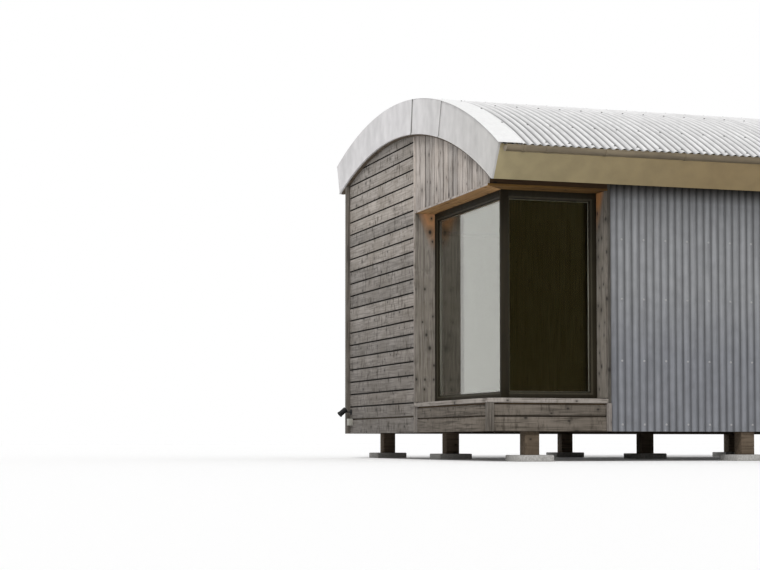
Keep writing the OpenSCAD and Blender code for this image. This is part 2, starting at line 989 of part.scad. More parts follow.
module door_lining_boards() {
    leaf_back_y = hut_wid - leaf_back - leaf_t;
    color("dimgray")
        place()
            difference() {
                door_hole(0, hut_wid - room_in, hut_wid);
                door_hole(door_lining, leaf_back_y, hut_wid + eps);
                door_hole(door_lining + door_stop, hut_wid - room_in - eps, hut_wid);
                door_hole(door_lining, hut_wid - room_in - eps, leaf_back_y - door_stop);
            }
}

module door_leaf() {
    margin = door_lining + leaf_gap;
    color("dimgray")
        place() {
            door_hole(margin, hut_wid - leaf_back - leaf_t, hut_wid - leaf_back);
            translate([door_x + margin + handle_in, hut_wid - leaf_back, floor_z + handle_up])
                door_handle();
        }
}

// An upright bar on two round posts, in front of the plane y = 0
module door_handle() {
    translate([0, handle_out, -handle_len / 2])
        cylinder(r = handle_r, h = handle_len, $fn = pipe_fn);
    for (z = [-handle_len / 3, handle_len / 3])
        translate([0, handle_out, z])
            rotate([90, 0, 0])
                cylinder(r = handle_r * 0.8, h = handle_out + eps, $fn = pipe_fn);
}

ground_pads();
feet();
floor_bearers();
floor_joists();
floor_rim();
floor_deck();
window_gable_wall();
window_gable_wall_over_window();
front_wall();
front_wall_over_window();
back_wall_by_corner();
back_wall_over_door();
back_wall();
far_gable_wall();
wall_lining();
ceiling_lining();
roof_deck();
roof_sheet();
verge_flashings();
window_gable_barge();
far_gable_barge();
front_fascia();
back_fascia();
front_gutter();
back_gutter();
gutter_brackets();
downpipes();
corner_lamp();
gable_level_boards();
gable_upright_boards();
window_apron_boards();
front_head_board();
window_reveals();
window_sill();
gable_window_frame();
front_window_frame();
window_corner_post();
window_glass();
corner_trims();
front_corrugated_sheet();
back_corrugated_sheet();
back_upright_boards();
far_gable_boards();
door_lining_boards();
door_leaf();
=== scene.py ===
# %% [markdown]
# # Shepherd's hut
#
# A raised timber cabin under a lopsided barrel roof of curved corrugated sheet. The CAD gives every solid
# its true place; this script gives the hut its boards, screws and finishes. Lengths are metres, X runs along
# the hut, Y from the low eave to the high eave, and Z up from the ground.

# %% Frame
import math
import random

import bmesh
import bpy
import numpy as np
from mathutils import Matrix, Vector


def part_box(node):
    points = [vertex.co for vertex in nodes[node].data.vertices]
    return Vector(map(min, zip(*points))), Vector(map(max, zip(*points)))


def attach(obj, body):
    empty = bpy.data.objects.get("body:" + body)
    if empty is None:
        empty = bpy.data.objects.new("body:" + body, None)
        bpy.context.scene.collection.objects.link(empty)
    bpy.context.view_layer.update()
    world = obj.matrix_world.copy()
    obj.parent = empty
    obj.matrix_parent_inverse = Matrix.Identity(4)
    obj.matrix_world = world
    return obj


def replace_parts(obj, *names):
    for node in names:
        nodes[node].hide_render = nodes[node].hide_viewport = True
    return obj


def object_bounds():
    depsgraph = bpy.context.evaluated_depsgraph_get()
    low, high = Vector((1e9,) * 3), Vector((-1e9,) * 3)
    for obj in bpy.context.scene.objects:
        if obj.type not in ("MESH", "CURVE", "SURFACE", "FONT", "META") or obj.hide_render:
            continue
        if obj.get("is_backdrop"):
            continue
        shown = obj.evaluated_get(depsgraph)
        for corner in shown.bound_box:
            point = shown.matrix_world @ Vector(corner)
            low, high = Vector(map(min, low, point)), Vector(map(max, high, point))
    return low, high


scene = bpy.context.scene
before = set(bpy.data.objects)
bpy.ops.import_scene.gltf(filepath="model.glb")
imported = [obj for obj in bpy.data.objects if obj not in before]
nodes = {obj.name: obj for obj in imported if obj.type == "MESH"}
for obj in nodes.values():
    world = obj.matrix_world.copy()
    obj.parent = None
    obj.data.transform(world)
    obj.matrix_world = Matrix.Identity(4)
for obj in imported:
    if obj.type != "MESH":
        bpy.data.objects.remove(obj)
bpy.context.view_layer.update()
random.seed(11)
X, Y, Z = 0, 1, 2

# %% [markdown]
# ## Measures
#
# The pieces are set out from the hut's own edges, which are read from the CAD boxes. A change to the CAD
# then carries through to the boards and screws.

# %% Faces and levels
gable_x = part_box("gable_level_boards")[0].x
far_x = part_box("far_gable_boards")[1].x
front_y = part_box("window_apron_boards")[0].y
back_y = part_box("back_upright_boards")[1].y
skirt_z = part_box("gable_level_boards")[0].z
floor_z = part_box("floor_deck")[1].z
head_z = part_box("window_corner_post")[1].z
strip_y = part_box("gable_level_boards")[0].y
side_trim_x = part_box("front_corrugated_sheet")[0].x
clad_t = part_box("front_head_board")[1].y - front_y
print("gable", round(gable_x, 3), "front", round(front_y, 3), "skirt", round(skirt_z, 3))

# %% [markdown]
# The roof is part of a barrel, so a place on it is an angle about the barrel's axis. The axis is the centre
# of the circle that fits the flashing's points best, which is a small least squares sum.

# %% Roof axis
edge_points = np.array([v.co for v in nodes["verge_flashings"].data.vertices])
rows = np.column_stack([2 * edge_points[:, 1], 2 * edge_points[:, 2], np.ones(len(edge_points))])
fit = np.linalg.lstsq(rows, (edge_points[:, 1:] ** 2).sum(axis=1), rcond=None)[0]
axis_y, axis_z = float(fit[0]), float(fit[1])


def from_axis(node):
    """The smallest and largest distance of a node's points from the roof's axis."""
    reach = [math.hypot(v.co.y - axis_y, v.co.z - axis_z) for v in nodes[node].data.vertices]
    return min(reach), max(reach)


def about_axis(node):
    """The smallest and largest angle of a node's points about the roof's axis."""
    turn = [math.atan2(v.co.y - axis_y, v.co.z - axis_z) for v in nodes[node].data.vertices]
    return min(turn), max(turn)


def on_roof(x, angle, reach):
    """The point at an angle about the roof's axis and a distance from it."""
    return Vector((x, axis_y + reach * math.sin(angle), axis_z + reach * math.cos(angle)))


roof_r = from_axis("verge_flashings")[1]
crest_r = from_axis("roof_sheet")[1]
edge_r = from_axis("window_gable_barge")[0]
eave_a, back_eave_a = about_axis("roof_sheet")
print("roof radius", round(roof_r, 4), "eaves", [round(math.degrees(a), 2) for a in (eave_a, back_eave_a)])

# %% [markdown]
# ## Finishes
#
# Old larch, galvanised sheet and painted metal have no picture behind them here: each is worked out from a
# few noise patterns. A small class keeps the shader graphs readable, as every node is one short call. The
# mix node's sockets are picked by number, because several share a name.

# %% Finish helper
MIX_FACTOR, MIX_A, MIX_B, MIX_RESULT = 0, 6, 7, 2


def fill(node, inputs):
    """Gives a shader node's inputs their values, or links them to other nodes' outputs."""
    for key, value in inputs.items():
        if isinstance(value, bpy.types.NodeSocket):
            node.id_data.links.new(value, node.inputs[key])
        else:
            node.inputs[key].default_value = value


def add_node(tree, kind, inputs, output=0, **settings):
    """Adds a shader node with its settings and inputs, and gives one of its outputs."""
    node = tree.nodes.new("ShaderNode" + kind)
    for key, value in settings.items():
        setattr(node, key, value)
    fill(node, inputs)
    return node.outputs[output]


class Finish:
    """A procedural material: patterns that feed one Principled shader."""

    def __init__(self, name, colour, roughness, metallic=0.0, shine=0.5):
        self.material = bpy.data.materials.new(name)
        self.material.use_nodes = True
        self.shader = self.material.node_tree.nodes["Principled BSDF"]
        self.give({"Base Color": (*colour, 1), "Roughness": roughness, "Metallic": metallic,
                   "Specular IOR Level": shine})

    def give(self, inputs):
        """Sets or feeds inputs of the shader itself."""
        fill(self.shader, inputs)

    def add(self, kind, inputs, output=0, **settings):
        return add_node(self.material.node_tree, kind, inputs, output, **settings)

    def placed(self, stretch=(1, 1, 1)):
        """The place on the object in metres, stretched along each axis."""
        place = self.add("TexCoord", {}, "Object")
        return self.add("Mapping", {"Vector": place, "Scale": stretch}, "Vector")

    def axes(self):
        """The place on the object as three numbers."""
        return self.add("SeparateXYZ", {0: self.placed()}).node.outputs

    def noise(self, vector, detail=4.0, distortion=0.0):
        inputs = {"Vector": vector, "Scale": 1.0, "Detail": detail, "Distortion": distortion}
        return self.add("TexNoise", inputs, "Fac")

    def calc(self, operation, a, b=0.0):
        return self.add("Math", {0: a, 1: b}, operation=operation)

    def times(self, a, b):
        return self.calc("MULTIPLY", a, b)

    def minus(self, a, b):
        return self.calc("SUBTRACT", a, b)

    def between(self, value, low, high, at_low=0.0, at_high=1.0):
        """A value turned from one range to another, without running over its ends."""
        inputs = {"Value": value, "From Min": low, "From Max": high, "To Min": at_low, "To Max": at_high}
        return self.add("MapRange", inputs, "Result")

    def spots(self, stretch, detail, low, high, at_low=0.0, at_high=1.0):
        """Noise turned into spots, which begin where it passes low and are full where it passes high."""
        return self.between(self.noise(self.placed(stretch), detail), low, high, at_low, at_high)

    def ramp(self, value, *stops):
        """A colour that changes along a value; each stop is a place and a colour."""
        colour = self.add("ValToRGB", {"Fac": value}, "Color")
        elements = colour.node.color_ramp.elements
        while len(elements) < len(stops):
            elements.new(1.0)
        for element, (place, stop) in zip(elements, stops):
            element.position = place
            element.color = (*stop, 1)
        return colour

    def mix(self, factor, a, b, blend="MIX"):
        a, b = [c if isinstance(c, bpy.types.NodeSocket) else (*c, 1) for c in (a, b)]
        inputs = {MIX_FACTOR: factor, MIX_A: a, MIX_B: b}
        return self.add("Mix", inputs, MIX_RESULT, data_type="RGBA", blend_type=blend)

    def shaded(self, colour, cover):
        """A colour with another one laid over it like a tinted film."""
        return self.mix(1.0, colour, cover, "MULTIPLY")

    def bump(self, height, depth):
        """Lifts the surface by a height pattern of the given depth in metres."""
        self.give({"Normal": self.add("Bump", {"Height": height, "Distance": depth}, "Normal")})

# %% [markdown]
# Three patterns lie over a board's grain. Run-off leaves short dark marks that hang down. Rain drives in at
# a slant under the window's head, and only the wood beyond it, close below the head, keeps its orange. Knots
# are the cells of a flat Voronoi pattern, each with its own size and a soft halo. The two coordinates across
# the grain are added into one for it, so that every face of a board shows whole knots.

# %% Wood patterns
rain_slope = 0.35
dry_edge = (0.02, 0.10)
shelter_end = (0.4, 0.1)
knot_r = 0.011
bare_share = 0.4
knot_sizes = (0.6, 1.7)
knot_fade = (0.35, 1.2)
halo_fade = (0.6, 3.2)
halo_depth = 0.55


def rain_marks(finish):
    """Thin runs and broader drips, both broken up by smudges."""
    runs = finish.spots((70.0, 70.0, 14.0), 3.0, 0.48, 0.68, 0.0, 0.6)
    drips = finish.spots((24.0, 24.0, 10.0), 2.5, 0.52, 0.64)
    smudges = finish.spots((6.0, 6.0, 6.0), 4.0, 0.38, 0.6, 0.1, 1.0)
    return finish.times(finish.calc("MAXIMUM", runs, drips), smudges)


def kept_dry(finish, at):
    """How well the shelter under the window's head has kept the wood."""
    from_gable = finish.minus(at[X], gable_x)
    inward = finish.calc("MINIMUM", from_gable, finish.minus(at[Y], front_y))
    below_head = finish.minus(head_z, at[Z])
    past_rain = finish.minus(inward, finish.times(below_head, rain_slope))
    near_head = finish.between(below_head, *shelter_end)
    return finish.times(finish.between(past_rain, *dry_edge), near_head)


def knots_and_halos(finish, at, grain, shift, strength, step):
    """Knots about a step apart, and the darker wood round each."""
    across = finish.calc("ADD", at[(grain + 1) % 3], at[(grain + 2) % 3])
    flat = finish.add("CombineXYZ", {0: at[grain], 1: across})
    cell = (1.1 / step, 1.6 / step, 1.0)
    grid = finish.add("Mapping", {"Vector": flat, "Scale": cell}, "Vector")
    grid = finish.add("VectorMath", {0: grid, 1: shift}, operation="ADD")
    inputs = {"Vector": grid, "Scale": 1.0}
    cells = finish.add("TexVoronoi", inputs, "Distance", voronoi_dimensions="2D")
    lot = finish.add("SeparateColor", {0: cells.node.outputs["Color"]}).node.outputs
    has_knot = finish.times(finish.calc("GREATER_THAN", lot[0], bare_share), strength)
    far = finish.calc("DIVIDE", cells, finish.between(lot[1], 0.0, 1.0, *knot_sizes))
    reach = knot_r * cell[1]
    knot = finish.between(far, knot_fade[0] * reach, knot_fade[1] * reach, 1.0, 0.0)
    halo = finish.between(far, halo_fade[0] * reach, halo_fade[1] * reach, halo_depth, 0.0)
    return finish.times(knot, has_knot), finish.times(halo, has_knot)

# %% [markdown]
# Weathered wood is mostly grain: noise drawn out along the board, with broad brown and silver patches over
# it. Each board's own random `tone` shifts its grain and knots and sets its brightness, so that no two
# neighbours match.

# %% Wood
GRAIN_ALONG, GRAIN_ACROSS = 2.2, 60.0
RUN_OFF = (0.4, 0.385, 0.36)
DULL_BOARD, BRIGHT_BOARD = (0.8, 0.8, 0.8), (1.12, 1.1, 1.08)
tone_shift = 37.0
patch_strength = 0.6
shade_rise = 2.6


def wood(name, grain, light, dark, stain, marks=0.8, knots=0.9, knot_step=0.26, warm=None, foot_shade=0.0):
    """Weathered wood with its grain along one axis. Marks and knots say how strongly those show, warm is the
    colour that shelter keeps, and foot_shade is how much painted shade darkens the wood towards the skirt,
    with painted light by half as much higher up."""
    finish = Finish(name, light, 0.8, shine=0.25)
    tone = finish.add("Attribute", {}, "Fac", attribute_name="tone")
    shift = finish.times(tone, tone_shift)
    at = finish.axes()

    stretch = [GRAIN_ACROSS] * 3
    stretch[grain] = GRAIN_ALONG
    drawn_out = finish.add("VectorMath", {0: finish.placed(stretch), 1: shift}, operation="ADD")
    lines = finish.noise(drawn_out, detail=6.0, distortion=0.8)
    bright = tuple(min(1.0, 1.2 * c) for c in light)
    colour = finish.ramp(lines, (0.37, dark), (0.5, light), (0.63, bright))
    patches = finish.spots((2.6, 2.6, 4.0), 3.0, 0.42, 0.66)
    colour = finish.mix(finish.times(patches, patch_strength), colour, stain)
    if warm:
        colour = finish.mix(kept_dry(finish, at), colour, warm)

    stains = finish.times(rain_marks(finish), marks)
    colour = finish.mix(stains, colour, finish.shaded(colour, RUN_OFF))
    knot, halo = knots_and_halos(finish, at, grain, shift, knots, knot_step)
    colour = finish.mix(halo, colour, tuple(0.75 * c for c in dark))
    colour = finish.mix(knot, colour, tuple(0.25 * c for c in dark))

    colour = finish.shaded(colour, finish.ramp(tone, (0.0, DULL_BOARD), (1.0, BRIGHT_BOARD)))
    # Painted shade towards the skirt, and painted light higher up.
    if foot_shade:
        rise_share = finish.between(at[Z], skirt_z, skirt_z + shade_rise)
        shade_at_foot, light_at_top = (1.0 - foot_shade,) * 3, (1.0 + foot_shade * 0.5,) * 3
        colour = finish.shaded(colour, finish.ramp(rise_share, (0.0, shade_at_foot), (1.0, light_at_top)))
    finish.give({"Base Color": colour})
    finish.bump(finish.minus(lines, knot), 0.0015)
    return finish.material

# %% [markdown]
# Each wood has a light, a dark and a stain colour. A wood whose grain runs along two axes is made once for
# each.

# %% Woods
SILVER = (0.324, 0.298, 0.274), (0.226, 0.206, 0.187), (0.225, 0.2, 0.172)
SILL = (0.31, 0.285, 0.262), (0.17, 0.15, 0.135), (0.225, 0.2, 0.172)
JAMB = (0.255, 0.233, 0.205), (0.15, 0.135, 0.115), (0.19, 0.168, 0.138)
APRON = (0.175, 0.15, 0.124), (0.09, 0.076, 0.06), (0.12, 0.1, 0.078)
# The front jamb's darker orange is painted shade under the head.
JAMB_WARM = {"gable": (0.76, 0.43, 0.22), "front": (0.52, 0.25, 0.1)}
weathered = {axis: wood(f"weathered_wood_{'xyz'[axis]}", axis, *SILVER, marks=1.0, foot_shade=0.42)
             for axis in (Y, Z)}
upright_wood = wood("upright_wood", Z, (0.405, 0.371, 0.345), (0.2, 0.178, 0.163), (0.3, 0.265, 0.236),
                    marks=0.5, knots=0.85, knot_step=0.24, foot_shade=0.45)
# The lath's pale wood is partly a painted highlight.
lath_wood = wood("lath_wood", Z, (0.41, 0.374, 0.34), (0.28, 0.246, 0.217), (0.36, 0.324, 0.287),
                 knots=0.0, foot_shade=0.5)
# Painted shade for the boards' cut faces in the joints.
shaded_board_edges = wood("shaded_board_edges", Z, (0.035, 0.029, 0.023), (0.02, 0.016, 0.012), (0.03, 0.024, 0.018),
                   knots=0.0)
sill_wood = [wood(f"sill_wood_{axis}", i, *SILL, marks=0.6) for i, axis in enumerate("xy")]
trim_wood = wood("trim_wood", Z, (0.145, 0.13, 0.113), (0.065, 0.057, 0.049), (0.1, 0.086, 0.069), marks=0.5)
# Painted shade for the trims between the corners, down to the sill.
shaded_trim_wood = wood("shaded_trim_wood", Z, (0.088, 0.081, 0.07), (0.045, 0.041, 0.035), (0.068, 0.062, 0.053),
                      marks=0.4)
jamb_wood = [wood(f"{side}_jamb_wood", Z, *JAMB, marks=0.5, knots=1.0, knot_step=0.17, warm=warm)
             for side, warm in JAMB_WARM.items()]
# A lit and a shaded copy of the head's wood: the gable's orange is lightened as painted light, the front's
# darkened as painted shade.
lit_gable_head_wood = wood("lit_gable_head_wood", Y, (0.435, 0.255, 0.11), (0.2, 0.11, 0.044), (0.29, 0.158, 0.062),
                       marks=0.1)
shaded_front_head_wood = wood("shaded_front_head_wood", X, (0.15, 0.08, 0.02), (0.07, 0.034, 0.01), (0.1, 0.05, 0.014),
                       marks=0.1)
apron_wood = [wood(f"apron_wood_{axis}", i, *APRON) for i, axis in enumerate("xy")]
door_wood = wood("door_wood", Z, (0.105, 0.1, 0.09), (0.055, 0.052, 0.046), (0.075, 0.07, 0.06), marks=0.3)
frame_wood = wood("frame_timber", X, (0.13, 0.1, 0.072), (0.065, 0.048, 0.032), (0.09, 0.068, 0.046),
                  marks=0.4)
# The soffit timber is darkened to a near-black brown as painted shade under the eave.
shaded_soffit_wood = wood("shaded_soffit_timber", X, (0.052, 0.026, 0.009), (0.026, 0.012, 0.004), (0.036, 0.018, 0.006),
                   marks=0.1)
lining_wood = wood("room_lining", Z, (0.2, 0.155, 0.105), (0.14, 0.105, 0.068), (0.17, 0.13, 0.086),
                   marks=0.0, knots=0.3)
floor_wood = wood("floor_boards", X, (0.17, 0.115, 0.066), (0.1, 0.065, 0.036), (0.14, 0.092, 0.052),
                  marks=0.0)
print(len(bpy.data.materials), "finishes so far")

# %% [markdown]
# Outdoor metal is never one flat grey. Rain draws faint streaks on it and the zinc blooms in cloudy spots,
# so a metal is one colour times two soft noises. A part-metal shader keeps that colour under soft light and
# still lets the crests shine. Painted shade, with some dirt, darkens a sheet's valleys, and a fade paints
# shade over a metal towards one end, such as under an eave.

# %% Metal
wave_pitch = 0.0762
streak_share = 0.6
valley_floor = 0.03
rim_shade, rim_fade = 0.72, 0.17
WHITE = (1.0, 1.0, 1.0)


def metal(name, colour, roughness=0.45, metallic=0.5, streaks=(30.0, 30.0, 1.6), depth=0.18, shine=0.5,
          valleys=None, fades=()):
    """Weathered metal with streaks. Valleys gives the x of a crest, and how dark and how wide valleys are.
    Each fade is an axis, two places along it, and the shade that lies over the metal at the first of them."""
    finish = Finish(name, colour, roughness, metallic, shine)
    at = finish.axes()
    streak = finish.times(finish.noise(finish.placed(streaks), detail=4.0), streak_share)
    bloom = finish.noise(finish.placed((9.0, 9.0, 9.0)), detail=7.0)
    both = finish.calc("ADD", streak, finish.times(bloom, 1.0 - streak_share))
    worn = tuple(c * (1 - depth) for c in colour)
    bright = tuple(min(1.0, c * (1 + depth * 0.6)) for c in colour)
    shade = finish.ramp(finish.between(both, 0.38, 0.62), (0.0, worn), (1.0, bright))
    if valleys:
        crest_x, dark, width = valleys
        turns = finish.calc("DIVIDE", finish.minus(at[X], crest_x), wave_pitch)
        off_valley = finish.calc("ABSOLUTE", finish.minus(finish.calc("FRACT", turns), 0.5))
        # Painted shade, with some dirt, in a sheet's valleys.
        valley_shade_and_dirt = ((valley_floor, (dark,) * 3), (width, (rim_shade,) * 3), (width + rim_fade, WHITE))
        shade = finish.shaded(shade, finish.ramp(off_valley, *valley_shade_and_dirt))
    for axis, start, end, cover in fades:
        clean = finish.between(at[axis], start, end)
        shade = finish.shaded(shade, finish.ramp(clean, (0.0, cover), (1.0, WHITE)))
    rough = finish.between(bloom, 0.35, 0.65, roughness - 0.05, roughness + 0.07)
    finish.give({"Base Color": shade, "Roughness": rough})
    finish.bump(bloom, 0.0004)
    return finish.material

# %% [markdown]
# Corrugated metals need to know where their crests are. A wall's sheets carry painted shade: under the eave
# at the top, at their foot, and in front on the first wave beside the window's trim.

# %% Sheet metals
roof_crest_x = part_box("roof_sheet")[0].x
front_crest_x = side_trim_x + wave_pitch / 2
back_crest_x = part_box("back_corrugated_sheet")[0].x + wave_pitch / 2
zinc_roof = metal("galvanised_roof", (0.8, 0.795, 0.795), 0.45, 0.3, streaks=(45.0, 1.2, 1.2), depth=0.14,
                  valleys=(roof_crest_x, 0.2, 0.19))

WALL_GREY = (0.257, 0.262, 0.272)
wall_valley = (0.36, 0.09)
fascia_lap = 0.02
eave_shade, eave_shade_h = (0.2, 0.18, 0.15), 0.14
front_top, back_top = [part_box(f"{side}_fascia")[0].z + fascia_lap for side in ("front", "back")]
# Painted shade at the foot of the wall sheets, full up to 0.7 m above the skirt and gone by 1.35 m.
low_wall_shade = (Z, skirt_z + 0.7, skirt_z + 1.35, (0.8, 0.81, 0.85))
# Painted shade on the first wave beside the window's trim.
beside_trim = (X, side_trim_x, side_trim_x + wave_pitch, (0.74, 0.74, 0.75))
wall_zinc = metal("wall_sheet", WALL_GREY, 0.45, 0.3, valleys=(front_crest_x, *wall_valley),
                  fades=[(Z, front_top, front_top - eave_shade_h, eave_shade), low_wall_shade, beside_trim])
back_zinc = metal("back_wall_sheet", WALL_GREY, 0.45, 0.3, valleys=(back_crest_x, *wall_valley),
                  fades=[(Z, back_top, back_top - eave_shade_h, eave_shade), low_wall_shade])
print("crests at", round(roof_crest_x, 3), round(front_crest_x, 3), round(back_crest_x, 3))

# %% [markdown]
# Painted metal and dark paint weather in much the same way, so the same function makes them. Bargeboards,
# fascia and gutter change a little along their length in the photograph, which a fade along X or Y gives. On
# the bargeboards and the fascia the fade is painted shade, and the fascia's olive colour is a painted
# reflection of the ground below it.

# %% Other metals and paints
# The bargeboards' fade is painted shade, darker towards the low eave.
barge_zinc = metal("barge_metal", (0.69, 0.675, 0.68), 0.5, 0.2, streaks=(7.0, 6.0, 2.5), depth=0.13,
                   shine=0.3, fades=[(Y, front_y - 0.4, front_y + 2.4, (0.77, 0.77, 0.74))])
# The cut ends' darker grey is painted shade in the joints.
joint_shade_metal = metal("cut_end_shade", (0.33, 0.33, 0.32), 0.6, 0.1, depth=0.1, shine=0.2)
flashing_metal = metal("pale_flashing", (0.87, 0.87, 0.865), 0.45, 0.2, depth=0.05)
# The fascia's olive colour is a painted reflection of the ground, and its fade is painted shade away from the
# gable.
fascia_metal = metal("fascia_metal", (0.385, 0.325, 0.188), 0.6, 0.1, streaks=(6.0, 12.0, 1.5), depth=0.1,
                     shine=0.3, fades=[(X, gable_x + 2.2, gable_x - 0.2, (0.84, 0.74, 0.66))])
gutter_metal = metal("gutter_metal", (0.22, 0.178, 0.118), 0.35, 0.3, streaks=(3.0, 20.0, 20.0), depth=0.2,
                     fades=[(X, gable_x + 2.9, gable_x + 0.8, (0.74, 0.72, 0.68))])
screw_metal = metal("screw_metal", (0.42, 0.42, 0.42), 0.4, 0.5, depth=0.05)
roof_screw_metal = metal("roof_screw_metal", (0.12, 0.12, 0.115), 0.5, 0.2, depth=0.1, shine=0.2)
spacer_metal = metal("spacer_metal", (0.75, 0.7, 0.62), 0.4, 0.2, depth=0.05)
nail_metal = metal("nail_metal", (0.1, 0.09, 0.08), 0.5, 0.3, depth=0.05)
frame_paint = metal("frame_paint", (0.02, 0.016, 0.009), 0.6, 0.0, depth=0.25, shine=0.12)
bead_paint = metal("bead_paint", (0.042, 0.036, 0.023), 0.55, 0.0, depth=0.2, shine=0.15)
lamp_black = metal("lamp_black", (0.014, 0.014, 0.014), 0.5, 0.0, depth=0.1, shine=0.2)
box_plastic = metal("box_plastic", (0.33, 0.32, 0.28), 0.5, 0.0, depth=0.1)
membrane = metal("wall_membrane", (0.012, 0.01, 0.008), 0.9, 0.0, depth=0.2)
print(len(bpy.data.materials), "finishes so far")

# %% [markdown]
# Cast concrete is grit at one scale. Glass needs no pattern: its look comes from what it mirrors and from
# the dark room behind it. In the photograph the gable pane is pale and the front pane dark. The specular
# tint gives that, as it dims what a pane mirrors head on: the front pane's dark brown tint is painted shade
# over its reflection, and the gable pane's near-white tint leaves it bright.

# %% Concrete and glass
concrete = Finish("pad_concrete", (0.4, 0.39, 0.37), 0.9)
grit = concrete.noise(concrete.placed((60.0, 60.0, 60.0)), detail=6.0)
concrete.give({"Base Color": concrete.ramp(grit, (0.3, (0.3, 0.29, 0.275)), (0.7, (0.48, 0.47, 0.45)))})
concrete.bump(grit, 0.002)

pane = []
# The front pane's dark tint is painted shade over what it mirrors.
for name, tint in (("gable_glass", (1.0, 0.97, 0.8)), ("shaded_front_glass", (0.09, 0.07, 0.02))):
    glass = Finish(name, (0.93, 0.94, 0.9), 0.01)
    glass.give({"Transmission Weight": 1.0, "IOR": 1.52, "Specular Tint": (*tint, 1)})
    pane.append(glass.material)
print(len(bpy.data.materials), "finishes in all")

# %% [markdown]
# ## Tools for the pieces
#
# A CAD solid of cladding is one plate, but real cladding is sawn from boards. So the plate's copy is merged
# and then cut: `bisect_plane` slices it and `holes_fill` closes the cut, which keeps every curved top and
# notch of the solid. A cut at `beyond` misses the whole hut. Edges are eased last, by three usual widths: a
# crisp saw cut, a planed board and a worn one.

# %% Cutting tools
beyond = 100.0
crisp, planed, worn = 0.0015, 0.002, 0.003
same_point = 1e-5
flat_enough = math.radians(0.4)
sharp_enough = math.radians(30)


def merged(node):
    """A CAD node's mesh with its loose triangles joined into whole faces."""
    bm = bmesh.new()
    bm.from_mesh(nodes[node].data)
    bmesh.ops.remove_doubles(bm, verts=bm.verts, dist=same_point)
    bmesh.ops.dissolve_limit(bm, angle_limit=flat_enough, verts=bm.verts, edges=bm.edges)
    return bm


def everything(bm):
    """All that a shape is made of, as bmesh's operators want it."""
    return bm.verts[:] + bm.edges[:] + bm.faces[:]


def cut(bm, point, normal, slot=0):
    """Takes away what lies beyond a plane, and closes the cut with faces of a material slot."""
    bmesh.ops.bisect_plane(bm, geom=everything(bm), dist=1e-6, plane_co=point, plane_no=normal,
                           clear_outer=True)
    for face in bmesh.ops.holes_fill(bm, edges=[e for e in bm.edges if e.is_boundary])["faces"]:
        face.material_index = slot


def part_between(source, axis, low, high, slot=0):
    """The part of a shape between two places along an axis."""
    part = source.copy()
    for place, side in ((low, -1), (high, 1)):
        normal = Vector((0, 0, 0))
        normal[axis] = side
        cut(part, normal * side * place, normal, slot)
    return part


def mitred(source, turn):
    """The part of a shape on one side of the gable corner's mitre: 1 is the gable's, -1 is the front's."""
    part = source.copy()
    cut(part, Vector((gable_x, front_y, 0)), Vector((turn, -turn, 0)).normalized())
    return part


def ease(bm, width, segments=2):
    """Takes the sharpness off every edge, as a plane or a file does."""
    sharp = [e for e in bm.edges if len(e.link_faces) == 2 and e.calc_face_angle() > sharp_enough]
    bmesh.ops.bevel(bm, geom=sharp, offset=width, offset_type="OFFSET", segments=segments, profile=0.5,
                    affect="EDGES", clamp_overlap=True, material=-1)

# %% [markdown]
# A piece is a heap of parts, such as boards, screws or bars, that becomes one object and rides on the hut.
# Each part brings the `tone` that the woods read: a random one for a board, an even one for a small part.

# %% Heaps and pieces
even_tone = 0.5


def heap():
    """An empty shape that parts are added to."""
    bm = bmesh.new()
    bm.verts.layers.float.new("tone")
    return bm


def add_part(main, part, tone=None):
    """Moves a part into a heap."""
    layer = part.verts.layers.float.new("tone")
    tone = random.random() if tone is None else tone
    for vert in part.verts:
        vert[layer] = tone
    mesh = bpy.data.meshes.new("part")
    part.to_mesh(mesh)
    part.free()
    main.from_mesh(mesh)
    bpy.data.meshes.remove(mesh)


def bar(main, low, high, width=0.0008):
    """A square bar between two corners."""
    part = bmesh.new()
    low, high = Vector(low), Vector(high)
    size = Matrix.Diagonal((*(high - low), 1))
    bmesh.ops.create_cube(part, size=1.0, matrix=Matrix.Translation((low + high) / 2) @ size)
    ease(part, width, 1)
    add_part(main, part, even_tone)


def cylinder(radius, length, sides, matrix, taper=1.0, capped=True):
    """A cylinder or cone along its own Z, put in place by a matrix."""
    bm = bmesh.new()
    bmesh.ops.create_cone(bm, cap_ends=capped, segments=sides, radius1=radius, radius2=radius * taper,
                          depth=length, matrix=matrix)
    return bm


def in_scene(name, data):
    """A new object in the scene."""
    thing = bpy.data.objects.new(name, data)
    scene.collection.objects.link(thing)
    return thing


def new_piece(name, bm, slot, *materials, crease=38):
    """Makes a heap an object: smooth faces that stay sharp where they turn by more than the crease."""
    for face in bm.faces:
        face.smooth = True
    for edge in bm.edges:
        edge.smooth = len(edge.link_faces) == 2 and edge.calc_face_angle() < math.radians(crease)
    mesh = bpy.data.meshes.new(name)
    bm.to_mesh(mesh)
    bm.free()
    for material in materials:
        mesh.materials.append(material)
    piece = in_scene(name, mesh)
    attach(piece, "root")
    print(name, len(mesh.polygons), "faces")
    return piece


def dressed(node, slot, material, width=planed):
    """A CAD node's own shape with eased edges, shown in its place."""
    bm = merged(node)
    ease(bm, width)
    main = heap()
    add_part(main, bm)
    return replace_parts(new_piece(node + "_dressed", main, slot, material), node)


def painted(node, material):
    """Gives a CAD node that is shown as it is its finish."""
    mesh = nodes[node].data
    mesh.materials.clear()
    mesh.materials.append(material)
    print(node, "in", material.name)

# %% [markdown]
# ## Cladding boards
#
# The gables carry level boards 143 mm apart with an open joint of 16 mm. The joints read as black lines, as
# the wall's membrane lies behind them, and a cut's faces take a second, dark finish that is painted shade in
# the joints. The joints are counted from the skirt.

# %% Level boards
board_pitch = 0.143
first_joint = 0.165
level_gap = 0.016
level_joint_count = 25
least_board = 2e-5


